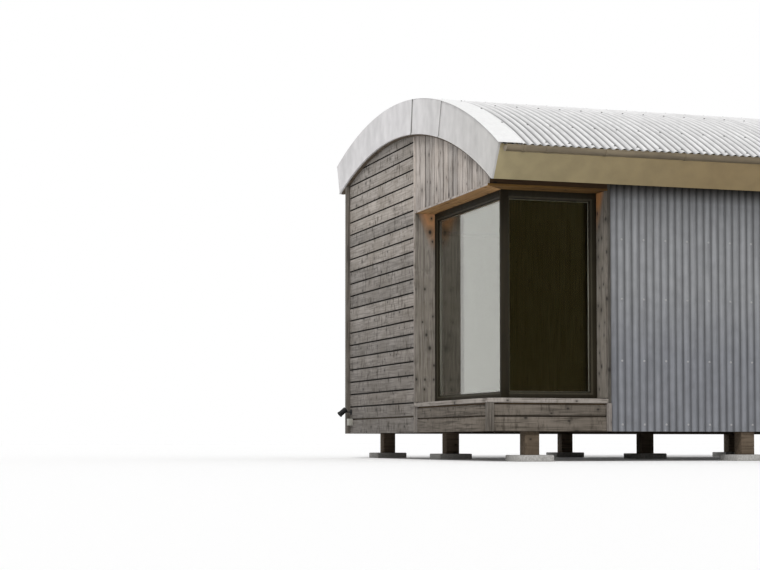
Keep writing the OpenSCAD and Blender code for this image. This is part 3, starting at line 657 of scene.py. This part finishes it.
def sawn(source, axis, joints, gap, width, main):
    """Saws a plate into boards at the joints across an axis, and adds them to a heap."""
    ends = [-beyond, *sorted(joints), beyond]
    for low, high in zip(ends, ends[1:]):
        board = part_between(source, axis, low + gap / 2, high - gap / 2, slot=1)
        if board.faces and board.calc_volume() > least_board:
            ease(board, width)
            add_part(main, board)
        else:
            board.free()
    source.free()


level_joints = [skirt_z + first_joint + i * board_pitch for i in range(level_joint_count)]
for node in ("gable_level_boards", "far_gable_boards"):
    main = heap()
    sawn(merged(node), Z, level_joints, level_gap, crisp, main)
    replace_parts(new_piece(node + "_sawn", main, "weathered_boards", weathered[Y], shaded_board_edges), node)

# %% [markdown]
# Over the window the boards stand upright with narrow joints, three of which have opened as the wood dried.
# The plate is sawn at those first, and then each stretch between them into boards. Beside and below the
# window the same plate is a narrow strip, which stays whole.

# %% Upright boards
open_joints = [front_y + y for y in (0.952, 1.237, 1.786)]
open_gap = 0.016
narrow_gap = 0.006
strip_top_z, boards_low_z = head_z + 0.019, head_z + 0.021
source = merged("gable_upright_boards")
main = heap()
over_window = part_between(source, Z, boards_low_z, beyond)
beside_window = part_between(source, Z, -beyond, strip_top_z)
ease(beside_window, 0.001, 1)
add_part(main, beside_window, even_tone)
source.free()
stretch_ends = [-beyond, *open_joints, beyond]
for low, high in zip(stretch_ends, stretch_ends[1:]):
    stretch = part_between(over_window, Y, low + open_gap / 2, high - open_gap / 2, slot=1)
    low, high = max(low, front_y), min(high, strip_y)
    count = max(1, round((high - low) / board_pitch))
    joints = [low + i * (high - low) / count for i in range(1, count)]
    sawn(stretch, Y, joints, narrow_gap, planed, main)
over_window.free()
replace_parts(new_piece("upright_boards", main, "weathered_boards", upright_wood, shaded_board_edges),
            "gable_upright_boards")

# %% [markdown]
# Two boards run round the corner under the sill. The CAD's plate turns the corner too, so one level cut
# serves both sides, and the faces round the corner take the wood whose grain runs along the hut. The boards
# end a finger's width below the sill, so that rain drips clear of them.

# %% Apron boards
drip_gap = 0.016
apron_joint, apron_gap = 0.14, 0.014
gable_side_x = gable_x + 0.04
front_side_y = front_y + clad_t + 0.001
main = heap()
source = merged("window_apron_boards")
below_sill = part_between(source, Z, -beyond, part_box("window_sill")[0].z - drip_gap, slot=1)
source.free()
sawn(below_sill, Z, [skirt_z + apron_joint], apron_gap, planed, main)
for face in main.faces:
    centre = face.calc_center_median()
    if face.material_index == 0 and centre.x > gable_side_x and centre.y < front_side_y:
        face.material_index = 2
apron = new_piece("apron_boards", main, "weathered_boards", apron_wood[1], shaded_board_edges, apron_wood[0])
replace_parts(apron, "window_apron_boards")

# %% [markdown]
# Beside its corner the back wall is boarded upright too, with evenly spaced joints.

# %% Back wall boards
back_start, back_joint_count, back_gap = 0.02, 16, 0.009
back_joints = [gable_x + back_start + i * board_pitch for i in range(1, back_joint_count + 1)]
main = heap()
sawn(merged("back_upright_boards"), X, back_joints, back_gap, planed, main)
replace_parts(new_piece("back_boards", main, "weathered_boards", weathered[Z], shaded_board_edges),
            "back_upright_boards")

# %% [markdown]
# Trims and the head board are single planed boards that only need their edges eased: a bevel of two or three
# millimetres catches the light and tells the eye that this is wood. The trims between the corners lie in the
# shade of the corrugations down to the sill, where a darker wood paints that shade, and are paler below it.

# %% Trims
corner_reach = 0.3
trim_tone = 0.6
near_x, past_x = gable_x + corner_reach, far_x - corner_reach
sill_low_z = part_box("window_sill")[0].z
trims = [(-beyond, near_x, -beyond, beyond, 0), (past_x, beyond, -beyond, beyond, 0),
         (near_x, past_x, -beyond, sill_low_z, 2), (near_x, past_x, sill_low_z, beyond, 1)]
source = merged("corner_trims")
main = heap()
for start, end, bottom, top, slot in trims:
    stretch = part_between(source, X, start, end)
    part = part_between(stretch, Z, bottom, top)
    stretch.free()
    ease(part, worn)
    for face in part.faces:
        face.material_index = slot
    add_part(main, part, trim_tone)
source.free()
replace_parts(new_piece("corner_trims_dressed", main, "weathered_boards", trim_wood, shaded_trim_wood,
                      upright_wood), "corner_trims")
dressed("front_head_board", "sheltered_boards", shaded_soffit_wood)

# %% [markdown]
# A pale lath covers the seam where the level boards stop short of the upright strip; its paleness is partly
# its own wood and partly a painted highlight where its side catches the light. It is a plain bar that stands
# on the boards' face and ends just under the bargeboard.

# %% Cover lath
lath_w = 0.022
lath_proud = 0.013
lath_short = 0.018
main = heap()
seam_angle = math.asin((strip_y - axis_y) / edge_r)
lath_top = on_roof(0, seam_angle, edge_r).z - lath_short
bar(main, (gable_x - lath_proud, strip_y - lath_w, skirt_z), (gable_x, strip_y, lath_top), crisp)
new_piece("cover_lath", main, "weathered_boards", lath_wood)

# %% [markdown]
# ## Corner window
#
# Sheltered boards line the opening. The jambs have three finishes: one on the gable's side, a deeper orange
# on the front's, darkened as painted shade under the head, and the trims' wood on the edge that the front's
# jamb turns outwards. The lining is cut at the head, which has finishes of its own: on the gable's side its
# orange is lightened as painted light, on the front's it is darkened to a brown as painted shade. The head is
# weathered where its edge stands out from the gable. Head and sill are cut along their mitre, because their
# grain turns the corner with them.

# %% Opening and sill
saw_cut = 0.0005
facing = 0.3
jamb_tone, head_tone, sill_tone = 0.6, 0.7, 0.75
front_jamb_x = gable_x + 0.5
standing_out_x = gable_x - 0.003
source = merged("window_reveals")
jambs = heap()
part = part_between(source, Z, -beyond, head_z - saw_cut)
ease(part, crisp, 1)
add_part(jambs, part, jamb_tone)
for face in jambs.faces:
    if face.calc_center_median().x > front_jamb_x:
        face.material_index = 2 if face.normal.y < -facing else 1
jamb_piece = new_piece("window_jambs", jambs, "sheltered_boards", *jamb_wood, trim_wood)
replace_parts(jamb_piece, "window_reveals")
head = part_between(source, Z, head_z, beyond)
source.free()
sill = merged("window_sill")
for turn, side_name, head_wood, finish in ((1, "gable", lit_gable_head_wood, sill_wood[Y]),
                                           (-1, "front", shaded_front_head_wood, sill_wood[X])):
    part = mitred(head, turn)
    ease(part, crisp, 1)
    main = heap()
    add_part(main, part, head_tone)
    for face in main.faces:
        face.material_index = int(face.calc_center_median().x < standing_out_x and face.normal.x < -facing)
    new_piece(side_name + "_head_lining", main, "sheltered_boards", head_wood, upright_wood)
    part = mitred(sill, turn)
    ease(part, worn)
    main = heap()
    add_part(main, part, sill_tone)
    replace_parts(new_piece(side_name + "_sill", main, "weathered_boards", finish), "window_sill")
head.free()
sill.free()

# %% [markdown]
# The window frames are dark painted timber. A rebated bead holds each pane. The CAD has its step, and its
# front face takes a paint that is a little lighter.

# %% Frames and post
bead_back = 0.010
bead_slack = 0.003
for node, axis in (("gable_window_frame", X), ("front_window_frame", Y)):
    piece = dressed(node, "dark_frame", frame_paint)
    piece.data.materials.append(bead_paint)
    bead_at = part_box(node)[0][axis] + bead_back
    for face in piece.data.polygons:
        face.material_index = int(abs(face.center[axis] - bead_at) < bead_slack)
dressed("window_corner_post", "dark_frame", frame_paint, worn)

# %% [markdown]
# Each window is a unit of two panes. Two thin things go with them, because their lines show where the glass
# begins: a rubber strip between bead and glass, and the pale metal spacer that holds the panes apart.

# %% Glass
pane_t = 0.006
glass_t = 0.028
edge_in = 0.018
post_edge_in = 0.010
strip = 0.006
spacer_w = 0.012
glass_low, glass_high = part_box("window_glass")
parting_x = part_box("front_window_frame")[0].x - 0.001
source = merged("window_glass")
gable_unit = part_between(source, X, -beyond, parting_x)
front_unit = part_between(source, X, parting_x, beyond)
source.free()


def ring(main, axis, depths, low, high, width):
    """Four bars round a pane; low and high are the corners of its outer edge, along the wall and up."""
    def corner(depth, side, height):
        return (depth, side, height) if axis == X else (side, depth, height)

    for side in (low[0], high[0] - width):
        bar(main, corner(depths[0], side, low[1]), corner(depths[1], side + width, high[1]))
    for height in (low[1], high[1] - width):
        bar(main, corner(depths[0], low[0], height), corner(depths[1], high[0], height + width))


panes, strips, spacers = heap(), heap(), heap()
for unit, axis in ((gable_unit, X), (front_unit, Y)):
    slot = int(axis == Y)
    for face in unit.faces:
        face.material_index = slot
    outer = min(vert.co[axis] for vert in unit.verts)
    for start in (outer, outer + glass_t - pane_t):
        add_part(panes, part_between(unit, axis, start, start + pane_t, slot))
    span = [vert.co[1 - axis] for vert in unit.verts]
    sight_low = (min(span) + post_edge_in, glass_low.z + edge_in)
    sight_high = (max(span) - edge_in, glass_high.z - edge_in)
    ring(strips, axis, (outer - strip, outer), sight_low, sight_high, strip)
    ring(spacers, axis, (outer + pane_t, outer + glass_t - pane_t), sight_low, sight_high, spacer_w)
    unit.free()
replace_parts(new_piece("window_panes", panes, "window_glass", *pane), "window_glass")
new_piece("glazing_strips", strips, "dark_frame", bead_paint)
new_piece("pane_spacers", spacers, "pale_metal", spacer_metal)

# %% [markdown]
# ## Corrugated sheets
#
# A corrugated sheet is a flat grid that is pushed in and out by a cosine. Wall sheets stand up and roof
# sheets bend round the roof's axis, so one function makes the grid and each caller says where its points go.
# Sheets are ten corrugations wide and tuck their last edge under the next one.

# %% Sheet maker
wave_depth = 0.017
sheet_t = 0.0008
wave_steps = 10
sheet_waves = 10
lap = 0.0011
slack = 1e-4


def corrugated(low, high, crest_x, steps_up, to_place, outward):
    """Sheets side by side from x = low to x = high, with a crest at crest_x; to_place turns x, depth and
    share of the height into a point."""
    main = heap()
    start = low
    while start < high - slack:
        end = min(high, start + sheet_waves * wave_pitch)
        over = min(high, end + wave_pitch / 4)
        sheet = bmesh.new()
        steps = max(1, round((over - start) / wave_pitch * wave_steps))
        grid = bmesh.ops.create_grid(sheet, x_segments=steps, y_segments=steps_up, size=0.5)
        for vert in grid["verts"]:
            x = start + (vert.co.x + 0.5) * (over - start)
            depth = wave_depth / 2 * (1 - math.cos(2 * math.pi * (x - crest_x) / wave_pitch))
            vert.co = to_place(x, depth + (lap if x > end + slack else 0.0), vert.co.y + 0.5)
        sheet.normal_update()
        sheet.faces.ensure_lookup_table()
        if sheet.faces[0].normal.dot(outward) < 0:
            bmesh.ops.reverse_faces(sheet, faces=sheet.faces)
        bmesh.ops.solidify(sheet, geom=sheet.faces[:], thickness=sheet_t)
        add_part(main, sheet)
        start = end
    return main

# %% [markdown]
# The long walls are clad in sheets that run from skirt to eave. A plain wave is the same all the way up, so
# the grid needs no steps in that direction.

# %% Wall sheets
wall_sheets = (("front_corrugated_sheet", -1, front_crest_x, wall_zinc),
               ("back_corrugated_sheet", 1, back_crest_x, back_zinc))
for node, side, crest_x, finish in wall_sheets:
    low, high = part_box(node)
    face_y = low.y if side < 0 else high.y

    def upright(x, depth, share):
        return Vector((x, face_y - side * depth, low.z + share * (high.z - low.z)))

    main = corrugated(low.x, high.x, crest_x, 1, upright, Vector((0, side, 0)))
    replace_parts(new_piece(node + "_waves", main, "wall_sheet", finish, crease=60), node)

# %% [markdown]
# Each roof sheet is rolled to the barrel's curve and reaches from eave to eave. The share of its height
# becomes an angle about the roof's axis, in steps that are short enough to look round.

# %% Roof sheets
arc_steps = 36
roof_low, roof_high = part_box("roof_sheet")


def curved(x, depth, share):
    return on_roof(x, eave_a + share * (back_eave_a - eave_a), crest_r - depth)


main = corrugated(roof_low.x, roof_high.x, roof_crest_x, arc_steps, curved, Vector((0, 0, 1)))
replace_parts(new_piece("roof_waves", main, "galvanised_sheet", zinc_roof, crease=60), "roof_sheet")

# %% [markdown]
# ## Roof edge
#
# The curved bargeboards are timber faced with sheet metal. The metal comes in lengths: one pair meets in an
# open joint, another laps. A cut through the roof's axis is square to the curve everywhere. Each length
# stands a little prouder than the last, and its cut end takes a darker grey of painted shade, so that the
# step shows.

# %% Bargeboards
open_joint = (front_y + 2.05, 0.032)
lap_joint = (front_y + 1.16, 0.001)
metal_lengths = ((None, lap_joint, 0.010), (lap_joint, open_joint, 0.003), (open_joint, None, 0.0))


def radial_part(source, low_joint, high_joint):
    """The part of a curved board between two joints, each a place across the hut and a gap."""
    part = source.copy()
    for joint, side in ((low_joint, -1), (high_joint, 1)):
        if joint:
            place, gap = joint
            angle = math.asin((place - axis_y) / roof_r)
            across = Vector((0, math.cos(angle), -math.sin(angle))) * side
            cut(part, Vector((0, axis_y, axis_z)) - across * gap / 2, across, slot=1)
    return part


for node, side in (("window_gable_barge", 1), ("far_gable_barge", -1)):
    source = merged(node)
    main = heap()
    for low_joint, high_joint, inset in metal_lengths:
        part = radial_part(source, low_joint, high_joint)
        ease(part, crisp)
        bmesh.ops.translate(part, verts=part.verts, vec=(side * inset, 0, 0))
        add_part(main, part)
    source.free()
    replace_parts(new_piece(node + "_metal", main, "barge_metal", barge_zinc, joint_shade_metal), node)

# %% [markdown]
# Behind the metal stands the timber board that carries it. It ends a finger's width below the metal's folded
# lip, which draws the brown line under the whole arc. Its section is a small rectangle, spun about the axis.

# %% Backing timber
timber_w = 0.034
timber_clear = 0.002
timber_drop = 0.014
timber_up = 0.018
timber_short_a = 0.004
timber_steps = 90
barge_eave_a, barge_back_a = about_axis("window_gable_barge")
main = heap()
for start_x in (gable_x - timber_w - timber_clear, far_x + timber_clear):
    timber = bmesh.new()
    section = bmesh.ops.create_grid(timber, x_segments=1, y_segments=1, size=0.5)["verts"]
    for vert in section:
        reach = edge_r - timber_drop + (vert.co.y + 0.5) * (timber_drop + timber_up)
        vert.co = on_roof(start_x + (vert.co.x + 0.5) * timber_w, barge_eave_a + timber_short_a, reach)
    bmesh.ops.spin(timber, geom=everything(timber), cent=(0, axis_y, axis_z), axis=(-1, 0, 0),
                   angle=barge_back_a - barge_eave_a - 2 * timber_short_a, steps=timber_steps,
                   use_duplicate=False)
    bmesh.ops.recalc_face_normals(timber, faces=timber.faces)
    add_part(main, timber, even_tone)
new_piece("barge_timber", main, "roof_timber", frame_wood)

# %% [markdown]
# Flashings, inclined eave boards and gutters keep the CAD's shapes. They only lack small things: a rolled
# bead along each gutter's rim, which is a long thin cylinder, and the sleeves that join its lengths, each a
# short tube with its upper half cut away.

# %% Flashings, fascias and gutters
painted("verge_flashings", flashing_metal)
for node in ("front_fascia", "back_fascia"):
    dressed(node, "fascia_metal", fascia_metal)
for node in ("front_gutter", "back_gutter", "gutter_brackets", "downpipes"):
    painted(node, gutter_metal)

bead_r = 0.005
rim_t = 0.002
sleeve_len = 0.055
sleeve_out = 0.003
sleeve_t = 0.002
first_sleeve, gutter_len = 0.41, 3.0
sleeve_places = [gable_x + first_sleeve + i * gutter_len for i in range(3)]
along_x = Matrix.Rotation(math.pi / 2, 4, "Y")
main = heap()
for node, side in (("front_gutter", -1), ("back_gutter", 1)):
    low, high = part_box(node)
    gutter_r = (high.y - low.y) / 2
    middle = (low + high) / 2
    rim_y = middle.y + side * (gutter_r - rim_t)
    bead_place = Matrix.Translation((middle.x, rim_y, high.z)) @ along_x
    add_part(main, cylinder(bead_r, high.x - low.x, 14, bead_place), even_tone)
    for x in sleeve_places:
        sleeve_place = Matrix.Translation((x, middle.y, high.z)) @ along_x
        sleeve = cylinder(gutter_r + sleeve_out, sleeve_len, 48, sleeve_place, capped=False)
        bmesh.ops.bisect_plane(sleeve, geom=everything(sleeve), plane_co=(0, 0, high.z), plane_no=(0, 0, 1),
                               clear_outer=True)
        bmesh.ops.solidify(sleeve, geom=sleeve.faces[:], thickness=sleeve_t)
        add_part(main, sleeve, even_tone)
new_piece("gutter_trim", main, "gutter_metal", gutter_metal)

# %% [markdown]
# ## Screws and nails
#
# Screws hold every third crest of the sheets, each with a round washer under a six-sided head. Each is only
# two short cones, because there are hundreds. Nails are flat discs, two to a board at each stud.

# %% Screw and nail makers
washer_r, washer_h = 0.0105, 0.0022
screw_r, screw_h = 0.0055, 0.0042
sunk = 0.0005


def stud(main, at, out, radius, height, sides, taper=1.0):
    """A small cylinder or cone that stands on a surface."""
    turn = out.to_track_quat("Z", "Y").to_matrix().to_4x4()
    place = Matrix.Translation(at + out * height / 2) @ turn
    add_part(main, cylinder(radius, height, sides, place, taper), even_tone)


def screw(main, at, out):
    stud(main, at, out, washer_r, washer_h, 14, 0.85)
    stud(main, at + out * washer_h, out, screw_r, screw_h, 6, 0.9)


def roof_screw(main, x, angle, reach):
    """A screw that stands square on the curve at an angle and a distance from the roof's axis."""
    at = on_roof(x, angle, reach - sunk)
    screw(main, at, (at - Vector((x, axis_y, axis_z))).normalized())

# %% [markdown]
# The roof's screw rows are set out along the curve from the low eave. They stop at the flashings, each of
# which has a row of its own near its inner edge.

# %% Roof screws
crest_step = 3 * wave_pitch
flashing_w = 0.240
flashing_screw_in = 0.03
flashing_screw_step = math.radians(5.3)
flashing_screw_shift = 0.2
flashing_screws = range(-5, 4)
ridge_gap = math.radians(2.5)
row_gaps = (0.06, 0.505, 0.9, 0.9, 0.72, 0.9, 0.75, 0.65)
sheet_low, sheet_high = roof_low.x + flashing_w, roof_high.x - flashing_w
crests = int((roof_high.x - roof_low.x) / crest_step)
main = heap()
angle = eave_a
for gap in row_gaps:
    angle += gap / crest_r
    for i in range(1, crests + 1):
        x = roof_low.x + i * crest_step
        if sheet_low < x < sheet_high:
            roof_screw(main, x, angle, crest_r)
for x in (sheet_low - flashing_screw_in, sheet_high + flashing_screw_in):
    for i in flashing_screws:
        angle = (i + flashing_screw_shift) * flashing_screw_step
        if abs(angle) > ridge_gap:
            roof_screw(main, x, angle, roof_r)
new_piece("roof_screws", main, "pale_metal", roof_screw_metal)

# %% [markdown]
# On the walls the rows are level and follow the rails behind the sheets. Both walls share the rows' heights.

# %% Wall screws
screw_rows = (0.065, 0.666, 1.25, 1.815, 2.4)
main = heap()
for node, side, crest_x, _ in wall_sheets:
    low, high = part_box(node)
    face_y = low.y if side < 0 else high.y
    for i in range(int((high.x - low.x) / crest_step) + 1):
        for row in screw_rows:
            at = Vector((crest_x + (3 * i + 1) * wave_pitch, face_y - side * sunk, low.z + row))
            if at.x < high.x:
                screw(main, at, Vector((0, side, 0)))
new_piece("wall_screws", main, "pale_metal", screw_metal)

# %% [markdown]
# Level boards are nailed to upright studs, so the nails stand in columns. A nail that the bargeboard would
# cover, or that would lie below the skirt, is left out.

# %% Cladding nails
stud_pitch = 0.61
nail_r, nail_h = 0.0032, 0.001
nail_sunk = 0.0004
nail_up = 0.047
nail_in = 0.03
main = heap()
for face_x, side in ((gable_x, -1), (far_x, 1)):
    low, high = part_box("gable_level_boards" if side < 0 else "far_gable_boards")
    studs = int((high.y - low.y) / stud_pitch)
    for joint in level_joints:
        for i in range(studs + 1):
            y = low.y + nail_in + i * (high.y - low.y - 2 * nail_in) / studs
            for z in (joint - board_pitch / 2 - nail_up, joint - board_pitch / 2 + nail_up):
                under_barge = math.hypot(y - axis_y, z - axis_z) < edge_r
                if under_barge and z > skirt_z:
                    at = Vector((face_x - side * nail_sunk, y, z))
                    stud(main, at, Vector((side, 0, 0)), nail_r, nail_h, 8)
new_piece("cladding_nails", main, "weathered_boards", nail_metal)

# %% [markdown]
# ## Feet, floor and room
#
# The hut stands on timber feet over concrete pads, with bearers and joists below the floor. These keep the
# CAD's solids, and only pads and feet get eased edges. The room shows through the glass, so its lining and
# floor are finished too.

# %% Feet, floor and room
dressed("ground_pads", "pad_concrete", concrete.material, 0.008)
dressed("feet", "foot_timber", frame_wood, 0.004)
for node in ("floor_bearers", "floor_joists", "floor_rim"):
    painted(node, frame_wood)
painted("floor_deck", floor_wood)
for node in ("wall_lining", "ceiling_lining"):
    painted(node, lining_wood)
painted("roof_deck", shaded_soffit_wood)
for node in nodes:
    if node.endswith("_wall") or node in ("window_gable_wall_over_window", "front_wall_over_window",
                                          "back_wall_by_corner", "back_wall_over_door"):
        painted(node, membrane)

# %% [markdown]
# ## Door
#
# The plain back door is a ledged leaf of upright boards. The leaf carries them as a thin second skin, and
# each is a bar with eased edges.

# %% Door
dressed("door_lining_boards", "door_timber", door_wood)
dressed("door_leaf", "door_timber", door_wood)
leaf_margin = 0.035
leaf_back = 0.110
skin_t = 0.008
skin_gap = 0.002
door_boards = 8
lining_low, lining_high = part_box("door_lining_boards")
leaf_low_x = lining_low.x + leaf_margin
leaf_high_x = lining_high.x - leaf_margin
leaf_face_y = back_y - leaf_back
board_w = (leaf_high_x - leaf_low_x) / door_boards
main = heap()
for i in range(door_boards):
    x = leaf_low_x + i * board_w
    bar(main, (x + skin_gap / 2, leaf_face_y, lining_low.z + leaf_margin),
        (x + board_w - skin_gap / 2, leaf_face_y + skin_t, lining_high.z - leaf_margin), worn)
new_piece("door_boards", main, "door_timber", door_wood)

# %% [markdown]
# Three hinge knuckles and a keyhole plate are all that shows of the door's fittings. A knuckle is made like
# a screw's head, only longer and upright.

# %% Door hinges and plate
hinge_in = 0.25
knuckle_r, knuckle_len = 0.008, 0.1
knuckle_x, knuckle_y = leaf_high_x + 0.001, leaf_face_y + 0.014
plate_x = leaf_low_x + 0.075
plate_low_z, plate_high_z = floor_z + 0.74, floor_z + 0.84
plate_half_w = 0.018
plate_face_y = leaf_face_y + 0.011
main = heap()
for z in (lining_low.z + hinge_in, (lining_low.z + lining_high.z) / 2, lining_high.z - hinge_in):
    foot = Vector((knuckle_x, knuckle_y, z - knuckle_len / 2))
    stud(main, foot, Vector((0, 0, 1)), knuckle_r, knuckle_len, 16)
bar(main, (plate_x - plate_half_w, leaf_face_y + skin_t, plate_low_z),
    (plate_x + plate_half_w, plate_face_y, plate_high_z))
new_piece("door_hinges_and_plate", main, "pale_metal", screw_metal)

# %% [markdown]
# ## Corner lamp
#
# A small black spot lamp on the gable's back corner, with the pale box that feeds it below. Both are one CAD
# node, so the copy's faces below the lamp take the box's finish.

# %% Corner lamp
box_high = 0.080
bm = merged("corner_lamp")
box_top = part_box("corner_lamp")[0].z + box_high
ease(bm, planed)
main = heap()
add_part(main, bm, even_tone)
for face in main.faces:
    face.material_index = int(face.calc_center_median().z < box_top)
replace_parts(new_piece("corner_lamp_dressed", main, "lamp_metal", lamp_black, box_plastic), "corner_lamp")

# %% [markdown]
# ## Stage, light and camera
#
# The floor is pale and wide, and the camera sees it a little whiter than the hut does, so that it runs into
# the background.

# %% Floor
floor_reach = 300.0
floor_pale = (0.86, 0.86, 0.86)
floor_glow = 0.055
floor_mesh = bmesh.new()
bmesh.ops.create_grid(floor_mesh, x_segments=1, y_segments=1, size=floor_reach)
mesh = bpy.data.meshes.new("studio_floor")
floor_mesh.to_mesh(mesh)
floor_mesh.free()
studio = Finish("studio_floor", floor_pale, 0.9)
seen_directly = studio.add("LightPath", {}, "Is Camera Ray")
studio.give({"Base Color": studio.mix(seen_directly, floor_pale, WHITE),
             "Emission Color": (1, 1, 1, 1), "Emission Strength": studio.times(seen_directly, floor_glow)})
mesh.materials.append(studio.material)
floor = in_scene("studio_floor", mesh)
floor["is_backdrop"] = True
print("floor", floor.name)

# %% [markdown]
# The world gives soft light from all round. Camera, mirror and glass rays see it as plain white, which keeps
# the background clean without more light on the hut.

# %% World
soft_light = 0.55
world = bpy.data.worlds.new("soft_studio")
scene.world = world
world.use_nodes = True
tree = world.node_tree
rays = add_node(tree, "LightPath", {}).node.outputs
seen = rays["Is Camera Ray"]
for name in ("Is Glossy Ray", "Is Transmission Ray"):
    seen = add_node(tree, "Math", {0: seen, 1: rays[name]}, operation="MAXIMUM")
level = add_node(tree, "MapRange", {"Value": seen, "To Min": soft_light, "To Max": 1.0}, "Result")
fill(tree.nodes["Background"], {"Color": (1, 1, 1, 1), "Strength": level})
print("world", world.name)

# %% [markdown]
# One broad sun from the upper left gives the boards and corrugations their shape. Its rays run to the right,
# inwards and down.

# %% Sun
sun_data = bpy.data.lights.new("broad_sun", "SUN")
sun_data.energy = 1.7
sun_data.angle = math.radians(25)
sun_rays = Vector((0.42, 0.62, -0.72))
sun = in_scene("broad_sun", sun_data)
sun.rotation_euler = sun_rays.to_track_quat("-Z", "Y").to_euler()
sun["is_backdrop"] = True
print("sun", round(sun_data.energy, 2))

# %% [markdown]
# The photograph was taken with a long lens from just above the ground, turned a little to the right of the
# hut's cross direction and tilted up slightly. The camera's place is measured from the foot of the cladding
# at the near corner.

# %% Camera
camera_left, camera_before, camera_below = 5.793, 15.175, 0.112
tilt_up, turn_right = math.radians(2.671), math.radians(17.378)
camera_data = bpy.data.cameras.new("camera")
camera_data.lens = 83.6
camera_data.sensor_width = 36.0
camera_data.shift_y = 0.10
camera_data.clip_end = 1000.0
camera = in_scene("camera", camera_data)
camera.location = (gable_x - camera_left, front_y - camera_before, skirt_z - camera_below)
camera.rotation_euler = (math.pi / 2 + tilt_up, 0, -turn_right)
scene.camera = camera
scene.view_settings.view_transform = "Standard"
print("camera", [round(v, 2) for v in camera.location])

# %% Sizes and end
low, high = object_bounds()
print("visual box", [round(v, 3) for v in (*low, *high)])
